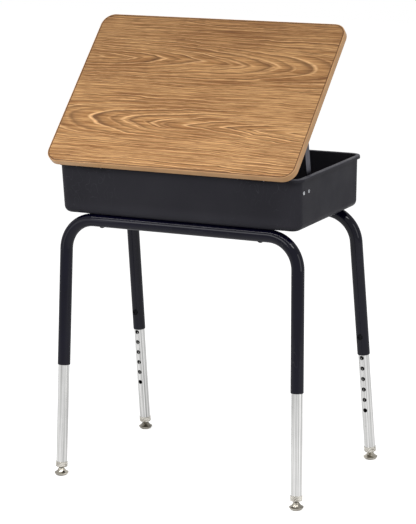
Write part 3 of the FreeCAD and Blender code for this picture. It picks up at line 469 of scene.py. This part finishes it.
@dataclass(frozen=True)
class Finish:
    """A surface finish; each kind gives its own inputs for the shader."""

    name: str

    def material(self) -> bpy.types.Material:
        """Return the finish's material, made at its first use."""
        made = bpy.data.materials.get(self.name)
        if made is None:
            made = bpy.data.materials.new(self.name)
            nodes = Nodes.emptied(made)
            where = nodes.add("TexCoord").outputs["Object"]
            shader = nodes.add("BsdfPrincipled", self.surface(nodes, where))
            nodes.add("OutputMaterial", {0: shader.outputs[0]})
        return made

    def surface(self, nodes: Nodes, where: Socket) -> dict[str, Value]:
        """Add the finish's nodes.

        Args:
            nodes: The material's tree.
            where: Object coordinates.

        Returns:
            Values or sockets by the shader's input name.
        """
        raise NotImplementedError

    @staticmethod
    def cloudy(nodes: Nodes, where: Socket, scale: float, span: Range = (0.0, 1.0)) -> Socket:
        """Return values that change cloudily within a span."""
        low, high = span
        return MOTTLE.place(nodes, Vector=where, Scale=scale, Low=low, High=high)["Value"]


@dataclass(frozen=True)
class WoodGrainLaminate(Finish):
    """Satin laminate printed with plain-sawn grain that runs along X.

    middle, half and corner are the outline of the shut lid with its band. The sheet's dark
    core shows as a line; core_line says how far inside the outline it begins and is full.
    Towards the user's edge a painted shade darkens the colour over a range of Y; it stands in
    for less lamp light on that edge. relief is the strength and the depth of a bump here and
    in the other finishes.
    """

    pale: Colour = (0.85, 0.512, 0.238)
    light: Colour = (0.665, 0.372, 0.150)
    body: Colour = (0.280, 0.119, 0.034)
    dark: Colour = (0.085, 0.033, 0.010)
    middle: Range = (0.0, -0.0128)
    half: Range = (0.3048, 0.2032)
    corner: float = 0.030
    core_line: Range = (0.0046, 0.0040)
    core_depth: float = 0.9
    # Painted shade: how much darker towards the user's edge, and over which Y; it stands in for
    # less lamp light there.
    painted_shade: Range = (0.36, 0.0)
    painted_shade_over: Range = (-0.22, 0.22)
    tone_part: float = 0.3
    ground_contrast: Range = (0.42, 0.60)
    line_gain: float = 1.2
    ridge_gain: float = 1.1
    pore_depth: Range = (0.4, 0.0)
    pore_contrast: Range = (0.36, 0.50)
    gloss_scale: float = 14.0
    rough: Range = (0.34, 0.42)
    scuffs: float = 0.5
    scuff_rough: float = 0.2
    relief: Range = (0.12, 0.0003)
    specular: float = 0.22

    def surface(self, nodes: Nodes, where: Socket) -> dict[str, Value]:
        """Grain, pores, broad tone and a painted shade at the user's edge, over a satin sheet."""
        lid = nodes.mapped(where, turn=(HINGE.open_angle, 0.0, 0.0), shift=HINGE.shut_offset())
        grain = PLAIN_SAWN.place(nodes, Vector=lid)
        tone = nodes.shared(grain["Tone"], grain["Streak"], self.tone_part)
        colour = nodes.blend(nodes.spread(tone, 0.0, 1.0, *self.ground_contrast),
                             self.body, self.light)
        colour = nodes.blend(nodes.times(grain["Line"], self.line_gain), colour, self.dark)
        colour = nodes.blend(nodes.times(grain["Ridge"], self.ridge_gain), colour, self.pale)
        pores = nodes.spread(grain["Pore"], *self.pore_depth, *self.pore_contrast)
        # Painted shade towards the user's edge, standing in for less lamp light there.
        painted_shade = nodes.spread(nodes.split(lid)[1], *self.painted_shade, *self.painted_shade_over)
        colour = nodes.blend(nodes.plus(pores, painted_shade), colour, self.dark)
        colour = nodes.blend(self._core(nodes, lid), colour, self.dark)
        rough = self.cloudy(nodes, where, self.gloss_scale, self.rough)
        scuffs = SCUFFS.place(nodes, Vector=where, Amount=self.scuffs)["Mask"]
        return {"Base Color": colour,
                "Roughness": nodes.plus(rough, nodes.times(scuffs, self.scuff_rough)),
                "Normal": nodes.bump(nodes.minus(grain["Pore"], scuffs), *self.relief),
                "Specular IOR Level": self.specular}

    def _core(self, nodes: Nodes, lid: Socket) -> Socket:
        """Return a mask of the sheet's dark core, a line all round its cut edge."""
        past = []
        for place, middle, half in zip(nodes.split(lid), self.middle, self.half):
            beyond = nodes.minus(nodes.away(place, middle), half - self.corner)
            past.append(nodes.math("POWER", nodes.math("MAXIMUM", beyond, 0.0), 2.0))
        out = nodes.math("SQRT", nodes.plus(*past))
        inner, outer = self.core_line
        return nodes.spread(out, 0.0, self.core_depth, self.corner - inner, self.corner - outer)


@dataclass(frozen=True)
class PlasticFinish(Finish):
    """Moulded plastic: cloudy colour, a fine skin, light scratches.

    Where a height is given, a thin band above it is painted paler: a painted highlight along a
    rim.
    """

    colour: Colour
    cloud: Colour
    cloud_scale: float
    rough: Range
    skin_scale: float = 1400.0
    skin_strength: float = 0.12
    skin_depth: float = 0.0002
    scuffs: float = 0.3
    scuff_lift: Range = (2.2, 0.02)
    specular: float = 0.5
    gloss_for_cloud: float = 2.3
    # Painted highlight: a thin paler band above a height, standing in for light caught by a rim's
    # edge.
    highlight_painted_above: Optional[float] = None
    rub_band: float = 0.0008
    rub_amount: float = 0.8
    rub_lift: Range = (3.0, 0.015)

    def surface(self, nodes: Nodes, where: Socket) -> dict[str, Value]:
        """Cloudy colour and sheen under a moulded skin, with a painted highlight along a rim."""
        cloud = self.cloudy(nodes, where, self.cloud_scale)
        colour = nodes.blend(cloud, self.colour, self.cloud)
        marks = SCUFFS.place(nodes, Vector=where, Amount=self.scuffs)["Mask"]
        colour = nodes.blend(marks, colour, lifted(self.cloud, *self.scuff_lift))
        # Painted highlight along the rim's top edge.
        if self.highlight_painted_above is not None:
            painted_highlight = nodes.spread(nodes.split(where)[2], 0.0, self.rub_amount,
                                  self.highlight_painted_above, self.highlight_painted_above + self.rub_band)
            colour = nodes.blend(painted_highlight, colour, lifted(self.cloud, *self.rub_lift))
        rough = self.cloudy(nodes, where, self.cloud_scale * self.gloss_for_cloud, self.rough)
        skin = SKIN.place(nodes, Vector=where, Scale=self.skin_scale)["Height"]
        return {"Base Color": colour, "Roughness": rough,
                "Normal": nodes.bump(skin, self.skin_strength, self.skin_depth),
                "Specular IOR Level": self.specular}


@dataclass(frozen=True)
class PowderCoat(Finish):
    """Gloss black coat over steel, with orange peel and handling marks."""

    colour: Colour = (0.0008, 0.0006, 0.0066)
    lift: Range = (1.4, 0.001)
    cloud_scale: float = 11.0
    marks: Colour = (0.09, 0.09, 0.095)
    scuffs: float = 0.35
    rough: Range = (0.16, 0.26)
    gloss_scale: float = 30.0
    peel_scale: float = 420.0
    peel: Range = (0.04, 0.0003)
    coat: float = 0.36
    coat_rough: float = 0.07

    def surface(self, nodes: Nodes, where: Socket) -> dict[str, Value]:
        """Dark coat with a soft uneven gloss."""
        cloud = self.cloudy(nodes, where, self.cloud_scale)
        colour = nodes.blend(cloud, self.colour, lifted(self.colour, *self.lift))
        marks = SCUFFS.place(nodes, Vector=where, Amount=self.scuffs)["Mask"]
        rough = self.cloudy(nodes, where, self.gloss_scale, self.rough)
        peel = SKIN.place(nodes, Vector=where, Scale=self.peel_scale)["Height"]
        return {"Base Color": nodes.blend(marks, colour, self.marks), "Roughness": rough,
                "Normal": nodes.bump(peel, *self.peel), "Specular IOR Level": 0.0,
                "Coat Weight": self.coat, "Coat Roughness": self.coat_rough}


@dataclass(frozen=True)
class MetalFinish(Finish):
    """Bare or plated metal with drawn lines, darker patches and scratches; on chrome
    and nickel the darker tone is also painted reflection of dark surroundings.

    lines is the drawn lines' part in the tone; cloudy patches have the rest. line_relief
    holds the bump's strength without lines, and what a tone of lines alone would add.
    """

    colour: Colour
    # The darker colour of lines and patches; on chrome and nickel it is also painted reflection.
    dull: Colour
    rough: Range
    lines: float
    scuffs: float = 0.4
    scuff_rough: float = 0.25
    along: Triple = UP
    cloud_scale: float = 26.0
    line_relief: Range = (0.06, 0.1)
    line_depth: float = 0.0002

    def surface(self, nodes: Nodes, where: Socket) -> dict[str, Value]:
        """Metal whose tone and gloss run in lines."""
        turn = Vector(self.along).rotation_difference(Vector(UP)).to_euler()
        drawn = DRAWN.place(nodes, Vector=nodes.mapped(where, turn=tuple(turn)))["Value"]
        cloud = self.cloudy(nodes, where, self.cloud_scale)
        tone = nodes.shared(drawn, cloud, self.lines)
        marks = SCUFFS.place(nodes, Vector=where, Amount=self.scuffs)["Mask"]
        plain, more = self.line_relief
        # The darker tone: less shiny metal, and on chrome and nickel painted reflection.
        return {"Base Color": nodes.blend(tone, self.colour, self.dull), "Metallic": 1.0,
                "Roughness": nodes.plus(nodes.spread(tone, *self.rough),
                                        nodes.times(marks, self.scuff_rough)),
                "Normal": nodes.bump(drawn, plain + more * self.lines, self.line_depth)}


@dataclass(frozen=True)
class KnurledBand(Finish):
    """Plated band rolled with a fine cross pattern."""

    colour: Colour = (0.64, 0.62, 0.57)
    dull: Colour = (0.20, 0.185, 0.16)
    turn: Triple = (0.0, 0.7, 0.6)
    rib_scale: float = 95.0
    waver: float = 0.4
    grime_scale: float = 90.0
    grime: Range = (0.4, 1.0)
    rough: Range = (0.22, 0.5)
    relief: Range = (0.5, 0.0004)

    def surface(self, nodes: Nodes, where: Socket) -> dict[str, Value]:
        """Crossing rolled ribs with grime between them."""
        waves = []
        for way in (1.0, -1.0):
            turned = nodes.mapped(where, turn=tuple(way * part for part in self.turn))
            waves.append(nodes.add("TexWave", {"Vector": turned, "Scale": self.rib_scale,
                                               "Distortion": self.waver}).outputs[1])
        ribs = nodes.times(*waves)
        grime = self.cloudy(nodes, where, self.grime_scale, self.grime)
        low = nodes.times(nodes.minus(1.0, ribs), grime)
        return {"Base Color": nodes.blend(low, self.colour, self.dull), "Metallic": 1.0,
                "Roughness": nodes.spread(low, *self.rough),
                "Normal": nodes.bump(ribs, *self.relief)}


@dataclass(frozen=True)
class ParticleBoard(Finish):
    """Pressed chips; the sheets and the band hide them on the whole lid."""

    light: Colour = (0.50, 0.37, 0.22)
    dark: Colour = (0.24, 0.15, 0.08)
    flatness: Triple = (1.0, 1.6, 2.6)
    chip_scale: float = 420.0
    rough: Range = (0.75, 0.95)
    relief: Range = (0.4, 0.0004)

    def surface(self, nodes: Nodes, where: Socket) -> dict[str, Value]:
        """Chips of many tones."""
        chips = nodes.add("TexVoronoi", {"Vector": nodes.mapped(where, self.flatness),
                                         "Scale": self.chip_scale}).outputs
        tone = nodes.add("SeparateColor", {0: chips["Color"]}).outputs[0]
        return {"Base Color": nodes.blend(tone, self.light, self.dark),
                "Roughness": nodes.spread(tone, *self.rough),
                "Normal": nodes.bump(chips["Distance"], *self.relief)}


TOP_SHEET = WoodGrainLaminate("wood-grain laminate")
EDGE_BAND = PlasticFinish(
    "light brown edge band", colour=(0.42, 0.230, 0.098), cloud=(0.48, 0.272, 0.122),
    cloud_scale=24.0, rough=(0.30, 0.40), skin_scale=900.0, skin_strength=0.06, scuffs=0.4,
    specular=0.2)
UNDER_SHEET = PlasticFinish(
    "backing sheet", colour=(0.115, 0.068, 0.040), cloud=(0.150, 0.092, 0.056),
    cloud_scale=16.0, rough=(0.50, 0.62), skin_scale=1600.0, scuffs=0.6)
BOARD = ParticleBoard("particle board")
# The box's rim top gets a painted highlight, a thin paler line above 0.7182 m.
BOX_PLASTIC = PlasticFinish(
    "charcoal box plastic", colour=(0.0250, 0.0245, 0.0300), cloud=(0.0300, 0.0295, 0.0355),
    cloud_scale=7.0, rough=(0.32, 0.52), specular=0.03, highlight_painted_above=0.7182)
BUMPER_RUBBER = PlasticFinish(
    "bumper rubber", colour=(0.02, 0.02, 0.02), cloud=(0.035, 0.035, 0.034),
    cloud_scale=60.0, rough=(0.75, 0.9), skin_scale=1200.0, specular=0.3)
GLIDE_NYLON = PlasticFinish(
    "glide nylon", colour=(0.24, 0.215, 0.18), cloud=(0.56, 0.53, 0.47),
    cloud_scale=120.0, rough=(0.12, 0.25), skin_scale=1500.0, scuffs=0.8)
TUBE_COAT = PowderCoat("gloss black coat")
LEAF_COAT = PowderCoat("hinge black paint", colour=(0.014, 0.014, 0.016), rough=(0.35, 0.48),
                       coat=0.0)
# Chrome: the dark streaks are drawn lines and also painted reflection of dark surroundings along
# the legs.
CHROME = MetalFinish("chromed tube", colour=(0.62, 0.618, 0.612), dull=(0.23, 0.230, 0.226),
                     rough=(0.08, 0.20), lines=0.92)
# Nickel: the dark cloudy patches are painted reflection of dark surroundings in the glide caps.
NICKEL = MetalFinish("nickel plate", colour=(0.46, 0.43, 0.37), dull=(0.055, 0.050, 0.042),
                     rough=(0.12, 0.26), lines=0.1, scuffs=0.8)
ZINC = MetalFinish("zinc plate", colour=(0.20, 0.20, 0.235), dull=(0.13, 0.13, 0.155),
                   rough=(0.34, 0.48), lines=0.4)
DARK_ZINC = MetalFinish("dark zinc plate", colour=(0.060, 0.060, 0.078),
                        dull=(0.036, 0.036, 0.048), rough=(0.30, 0.45), lines=0.4)
BRIGHT_RIVET = MetalFinish("bright rivet", colour=(0.42, 0.43, 0.45), dull=(0.16, 0.165, 0.18),
                           rough=(0.16, 0.28), lines=0.1)
BAND = KnurledBand("rolled plated band")


def dress(finish: Finish, *names: str) -> None:
    """Give CAD nodes a finish.

    Args:
        finish: The finish.
        names: Node names.
    """
    for name in names:
        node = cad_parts[name]
        if not node.material_slots:
            node.data.materials.append(finish.material())
        for slot in node.material_slots:
            slot.material = finish.material()


# ---- meshes ----------------------------------------------------------------------------
def new_piece(name: str, mesh: bmesh.types.BMesh, finish: Finish, body: str) -> bpy.types.Object:
    """Turn a bmesh into a piece of the scene.

    Args:
        name: The piece's name.
        mesh: Its geometry, in place.
        finish: Its finish.
        body: The body that it rides on.

    Returns:
        The new object.
    """
    bmesh.ops.remove_doubles(mesh, verts=mesh.verts, dist=SAME_PLACE)
    bmesh.ops.recalc_face_normals(mesh, faces=mesh.faces)
    data = bpy.data.meshes.new(name)
    mesh.to_mesh(data)
    mesh.free()
    data.materials.append(finish.material())
    data.shade_smooth()
    data.set_sharp_from_angle(angle=SHARP_EDGE)
    piece = bpy.data.objects.new(name, data)
    bpy.context.scene.collection.objects.link(piece)
    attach(piece, body)
    return piece


def aimed(place: Sequence[float], outward: Vector) -> Matrix:
    """Return the transform that puts a thing at a place, with its +Z outward."""
    turn = outward.to_track_quat("Z", "Y").to_matrix().to_4x4()
    return Matrix.Translation(place) @ turn


@dataclass(frozen=True)
class DrivenHead:
    """A domed screw head with a sunk drive, made along +Z from its seat.

    The dome lists its rings as parts of the height and of the radius; the drive is a cross,
    or else a plain socket, and its floor is smaller than its mouth by drive_taper.
    """

    radius: float
    height: float
    drive: float
    depth: float
    cross: bool = True
    shank_radius: float = 0.0
    shank_length: float = 0.0
    segments: int = 24
    dome: tuple[Range, ...] = ((0.35, 0.96), (0.7, 0.80), (0.92, 0.56))
    drive_taper: float = 0.7
    notch: float = 0.62
    notch_width: float = 1.25

    def add_to(self, mesh: bmesh.types.BMesh, place: Matrix) -> None:
        """Add one head to a mesh.

        Args:
            mesh: The mesh to add to.
            place: Where the head stands.
        """
        ring = bmesh.ops.create_circle(mesh, cap_ends=True, radius=self.radius,
                                       segments=self.segments)["verts"]
        face = ring[0].link_faces[0]
        made = set(ring)
        for lift, width in self.dome:
            face = self._raise(mesh, face, self.height * lift, made, self.radius * width)
        face = self._raise(mesh, face, self.height, made, self.drive)
        if self.cross:
            self._cross(face)
        face = self._raise(mesh, face, self.height, made)
        self._raise(mesh, face, self.height - self.depth, made, shrink=self.drive_taper)
        if self.shank_length:
            tube = bmesh.ops.create_cone(mesh, cap_ends=True, segments=self.segments,
                                         radius1=self.shank_radius, radius2=self.shank_radius,
                                         depth=self.shank_length,
                                         matrix=Matrix.Translation((0, 0, -self.shank_length / 2)))
            made.update(tube["verts"])
        bmesh.ops.transform(mesh, matrix=place, verts=list(made))

    @staticmethod
    def _raise(mesh: bmesh.types.BMesh, face: bmesh.types.BMFace, height: float, made: set,
               radius: Optional[float] = None, shrink: float = 1.0) -> bmesh.types.BMFace:
        """Extrude a cap to a height and a radius, or shrink it, and return the new cap."""
        cap = bmesh.ops.extrude_discrete_faces(mesh, faces=[face])["faces"][0]
        for vert in cap.verts:
            scale = shrink if radius is None else radius / max(vert.co.xy.length, TINY)
            vert.co = Vector((vert.co.x * scale, vert.co.y * scale, height))
            made.add(vert)
        return cap

    def _cross(self, face: bmesh.types.BMFace) -> None:
        """Draw a round cap's diagonals in, which leaves a cross."""
        for vert in face.verts:
            diagonal = abs(math.sin(2.0 * math.atan2(vert.co.y, vert.co.x)))
            scale = 1.0 - self.notch * min(1.0, diagonal * self.notch_width)
            vert.co.x *= scale
            vert.co.y *= scale


WOOD_SCREW = DrivenHead(radius=0.0037, height=0.00068, drive=0.0021, depth=0.0005)
LOCK_SCREW = DrivenHead(radius=0.0052, height=0.0030, drive=0.0026, depth=0.0022, cross=False,
                        shank_radius=0.0038, shank_length=0.0036)


def drive_heads(name: str, places: Sequence[tuple[Vector, Vector]], head: DrivenHead,
                finish: Finish, body: str, node: str) -> bpy.types.Object:
    """Stand for a node of fasteners with heads that have a sunk drive.

    Args:
        name: The piece's name.
        places: Seat and outward direction of each head.
        head: The head's shape.
        finish: Its finish.
        body: The body that it rides on.
        node: The CAD node it stands for.

    Returns:
        The new piece.
    """
    mesh = bmesh.new()
    for seat, outward in places:
        head.add_to(mesh, aimed(seat, outward))
    piece = new_piece(name, mesh, finish, body)
    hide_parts(node)
    return piece


# ---- sub-assemblies --------------------------------------------------------------------
@dataclass
class Lid:
    """The laminated panel with its band, sheets and rubber buttons."""

    def build(self) -> None:
        """Dress the lid's own pieces."""
        dress(TOP_SHEET, "lid_top_sheet")
        dress(EDGE_BAND, "lid_edge_band")
        dress(UNDER_SHEET, "lid_under_sheet")
        dress(BOARD, "lid_core")
        dress(BUMPER_RUBBER, "lid_bumpers")
        LOG.info("lid dressed")


@dataclass
class Hinges:
    """Two butt hinges, with a row of cross-drive screws up into the lid.

    middle is how far a hinge's middle stands from X = 0, screw_row how far its screws are
    from the hinge line, and leaf the leaf's thickness.
    """

    middle: float = 0.200
    screw_row: float = 0.025
    screw_pitch: float = 0.0204
    leaf: float = 0.0016

    def screw_places(self) -> list[tuple[Vector, Vector]]:
        """Return the seats of the screws on the open lid, facing away from it."""
        return [HINGE.screw_seat(middle + k * self.screw_pitch, self.screw_row, self.leaf)
                for middle in (-self.middle, self.middle) for k in (-1, 0, 1)]

    def build(self) -> None:
        """Dress the leaves and make the screw heads."""
        dress(LEAF_COAT, "hinge_leaf_lid", "hinge_leaf_box")
        dress(BOX_PLASTIC, "hinge_rivets")
        dress(ZINC, "hinge_pins")
        drive_heads("hinge_screw_heads", self.screw_places(), WOOD_SCREW, ZINC, "lid",
                    "hinge_lid_screws")
        LOG.info("hinges dressed, hinge screws made")


@dataclass
class LidStays:
    """Straps that swing from lugs under the lid and slide in slotted tracks.

    Each lug has two screws through its flange, which reaches inwards from ear_face.
    """

    ear_face: float = 0.2842
    flange: float = 0.020
    screw_on_flange: float = 0.6
    lug_length: float = 0.034
    screw_along_lug: float = 0.3
    steel: float = 0.002
    pivot_from_hinge: float = 0.1225

    def screw_places(self) -> list[tuple[Vector, Vector]]:
        """Return the seats of the lug screws on the open lid, facing away from it."""
        across = self.ear_face - self.flange * self.screw_on_flange
        along = self.lug_length * self.screw_along_lug
        return [HINGE.screw_seat(side.value * across, self.pivot_from_hinge - k * along,
                                 self.steel)
                for side in Side for k in (-1, 1)]

    def build(self) -> None:
        """Dress the stays and make the lug screws' heads."""
        for side in Side:
            end = side.name.lower()
            dress(ZINC, "stay_track_" + end, "stay_lug_" + end, "stay_slide_pin_" + end)
            dress(DARK_ZINC, "stay_arm_" + end)
        dress(ZINC, "stay_pivot_pins", "stay_track_spacers")
        dress(BRIGHT_RIVET, "stay_track_rivets")
        drive_heads("stay_screw_heads", self.screw_places(), WOOD_SCREW, ZINC, "lid",
                    "stay_lug_screws")
        LOG.info("lid stays dressed, lug screws made")


@dataclass
class BookBox:
    """The moulded box under the lid."""

    def build(self) -> None:
        """Dress the box."""
        dress(BOX_PLASTIC, "book_box")
        LOG.info("book box dressed")


@dataclass(frozen=True)
class LegLine:
    """The axis of one leg, from the same sizes as the frame's tubes."""

    row: Row
    side: Side
    run_height: float = 0.5896
    spacing: float = 0.2872
    half_gap: float = 0.1425
    splay: float = math.radians(5.05)
    lean: float = math.radians(0.99)

    def down(self) -> Vector:
        """Return the unit vector down the leg."""
        return Vector((self.side.value * math.tan(self.lean),
                       self.row.value * math.sin(self.splay), -math.cos(self.splay))).normalized()

    def inward(self) -> Vector:
        """Return the unit vector square to the frame, towards the desk's middle."""
        return Vector((0.0, -self.row.value * math.cos(self.splay), -math.sin(self.splay)))

    def at_height(self, height: float) -> Vector:
        """Return the axis point at a height above the floor."""
        corner = Vector((self.side.value * self.spacing, self.row.value * self.half_gap,
                         self.run_height))
        down = self.down()
        return corner + down * ((height - corner.z) / down.z)


@dataclass
class Frames:
    """Two bent U tubes with their bolts and lock screws.

    tube_end is the height of a tube's lower end, and first_hole the distance from there down
    to the first height hole that shows. A lock screw stands lock_hole holes above that one.
    """

    tube_end: float = 0.2562
    first_hole: float = 0.0064
    pitch: float = 0.0254
    lock_hole: int = 2
    tube_radius: float = 0.0143
    nut: float = 0.0024

    def lock_places(self) -> list[tuple[Vector, Vector]]:
        """Return the seats of the lock screws' heads, facing the desk's middle."""
        places = []
        for row in Row:
            for side in Side:
                leg = LegLine(row, side)
                along = self.first_hole - self.lock_hole * self.pitch
                axis = leg.at_height(self.tube_end) + leg.down() * along
                seat = axis + leg.inward() * (self.tube_radius + self.nut)
                places.append((seat, leg.inward()))
        return places

    def build(self) -> None:
        """Dress the frames and make the lock screws."""
        dress(TUBE_COAT, "frame_front", "frame_rear")
        dress(LEAF_COAT, "frame_bolts", "lock_nuts")
        dress(ZINC, "frame_washers", "frame_nuts")
        drive_heads("lock_screw_heads", self.lock_places(), LOCK_SCREW, LEAF_COAT, "stand",
                    "lock_screws")
        LOG.info("frames dressed, lock screws made")


@dataclass
class Leg:
    """One chromed insert with its band and swivel glide."""

    row: Row
    side: Side

    def build(self) -> None:
        """Dress the leg's pieces; the insert's drawn lines follow the leg."""
        place = "_%s_%s" % (self.row.name.lower(), self.side.name.lower())
        chrome = replace(CHROME, name=CHROME.name + place.replace("_", " "),
                         along=tuple(-LegLine(self.row, self.side).down()))
        dress(chrome, "leg_insert" + place)
        dress(BAND, "leg_ferrule" + place)
        dress(NICKEL, "glide_stem" + place, "glide_cap" + place)
        dress(GLIDE_NYLON, "glide_base" + place)
        LOG.info("leg%s dressed", place)


# ---- studio ----------------------------------------------------------------------------
@dataclass(frozen=True)
class Softbox:
    """One white area lamp, aimed at a point of the desk."""

    name: str
    place: Triple
    size: tuple[float, float]
    watts: float
    aim: Triple = (0.0, 0.0, 0.55)

    def build(self) -> None:
        """Add the lamp."""
        lamp = bpy.data.lights.new(self.name, "AREA")
        lamp.shape = "RECTANGLE"
        lamp.size, lamp.size_y = self.size
        lamp.energy = self.watts
        holder = bpy.data.objects.new(self.name, lamp)
        holder.matrix_world = aimed(self.place, Vector(self.place) - Vector(self.aim))
        bpy.context.scene.collection.objects.link(holder)


@dataclass(frozen=True)
class Studio:
    """White surroundings, a pale floor and soft lamps.

    The surroundings are white for the camera and in reflections, and light the desk with
    the strength fill. The paper glows for the camera, so only a soft shadow is left on it.
    The softboxes' left and right are the camera's.
    """

    fill: float = 0.30
    floor_size: float = 14.0
    paper: Colour = (0.86, 0.86, 0.86)
    glow: float = 0.76
    lamps: tuple[Softbox, ...] = (
        Softbox("front softbox", (0.20, 0.95, 1.05), (1.0, 0.30), 4.4, (0.0, 0.1, 0.8)),
        Softbox("overhead strip", (-0.15, 1.05, 2.6), (3.6, 0.08), 24.0, (-0.15, 0.0, 0.55)),
        Softbox("corner softbox", (-1.5, 0.65, 2.3), (0.5, 0.5), 9.0, (-0.2, 0.1, 0.5)),
        Softbox("left softbox", (1.9, 2.2, 1.0), (1.0, 1.4), 6.0),
        Softbox("right softbox", (-2.6, 0.4, 1.1), (0.8, 1.6), 13.0))

    def world(self) -> None:
        """White for the camera and reflections, softer as a light."""
        world = bpy.data.worlds.new("studio surroundings")
        nodes = Nodes.emptied(world)
        strength = nodes.spread(nodes.seen_by("Glossy", "Transmission"), self.fill, 1.0)
        shade = nodes.add("Background", {"Color": WHITE, "Strength": strength})
        nodes.add("OutputWorld", {0: shade.outputs[0]})
        bpy.context.scene.world = world

    def floor(self) -> None:
        """A pale sheet that keeps the desk's soft shadow."""
        mesh = bmesh.new()
        bmesh.ops.create_grid(mesh, x_segments=1, y_segments=1, size=self.floor_size / 2)
        data = bpy.data.meshes.new("studio_floor")
        mesh.to_mesh(data)
        mesh.free()
        paint = bpy.data.materials.new("pale floor paper")
        nodes = Nodes.emptied(paint)
        sheet = nodes.add("BsdfDiffuse", {"Color": self.paper})
        glow = nodes.add("Emission", {"Color": WHITE,
                                      "Strength": nodes.times(nodes.seen_by("Glossy"), self.glow)})
        both = nodes.add("AddShader", {0: sheet.outputs[0], 1: glow.outputs[0]})
        nodes.add("OutputMaterial", {0: both.outputs[0]})
        data.materials.append(paint)
        floor = bpy.data.objects.new("studio_floor", data)
        bpy.context.scene.collection.objects.link(floor)

    def build(self) -> None:
        """Set the studio up."""
        self.world()
        self.floor()
        for lamp in self.lamps:
            lamp.build()
        LOG.info("studio set up with %d lamps", len(self.lamps))


@dataclass(frozen=True)
class DeskCamera:
    """A long lens that looks at the desk's hinge side from its left rear corner."""

    focal_pixels: float = 2413.5
    frame_pixels: tuple[int, int] = (416, 524)
    centre_pixels: tuple[float, float] = (211.9, 258.2)
    turn: float = math.radians(28.36)
    raised: float = math.radians(13.196)
    roll: float = math.radians(-1.447)
    distance: float = 5.4122
    target: Triple = (-0.00068, 0.0, 0.49034)
    sensor_mm: float = 36.0
    farthest: float = 50.0

    def build(self) -> None:
        """Add the camera and make it the scene's own."""
        back = Vector((-math.sin(self.turn) * math.cos(self.raised),
                       math.cos(self.turn) * math.cos(self.raised), math.sin(self.raised)))
        right = Vector((-math.cos(self.turn), -math.sin(self.turn), 0.0))
        level = Matrix((right, back.cross(right), back)).transposed()
        wide, high = self.frame_pixels
        lens = bpy.data.cameras.new("desk camera")
        lens.sensor_width = self.sensor_mm
        lens.lens = self.focal_pixels / high * self.sensor_mm
        lens.shift_x = (wide / 2 - self.centre_pixels[0]) / high
        lens.shift_y = (self.centre_pixels[1] - high / 2) / high
        lens.clip_end = self.farthest
        camera = bpy.data.objects.new("desk camera", lens)
        turned = (level @ Matrix.Rotation(self.roll, 3, "Z")).to_4x4()
        place = Vector(self.target) + back * self.distance
        camera.matrix_world = Matrix.Translation(place) @ turned
        bpy.context.scene.collection.objects.link(camera)
        bpy.context.scene.camera = camera
        LOG.info("camera placed")


def main() -> None:
    """Build and dress the desk, then set up the studio and the camera."""
    logging.basicConfig(level=logging.INFO)
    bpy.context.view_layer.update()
    bpy.context.scene.view_settings.view_transform = "Standard"
    parts = [Lid(), Hinges(), LidStays(), BookBox(), Frames()]
    parts += [Leg(row, side) for row in Row for side in Side]
    for part in parts:
        part.build()
    Studio().build()
    DeskCamera().build()


if __name__ == "__main__":
    main()
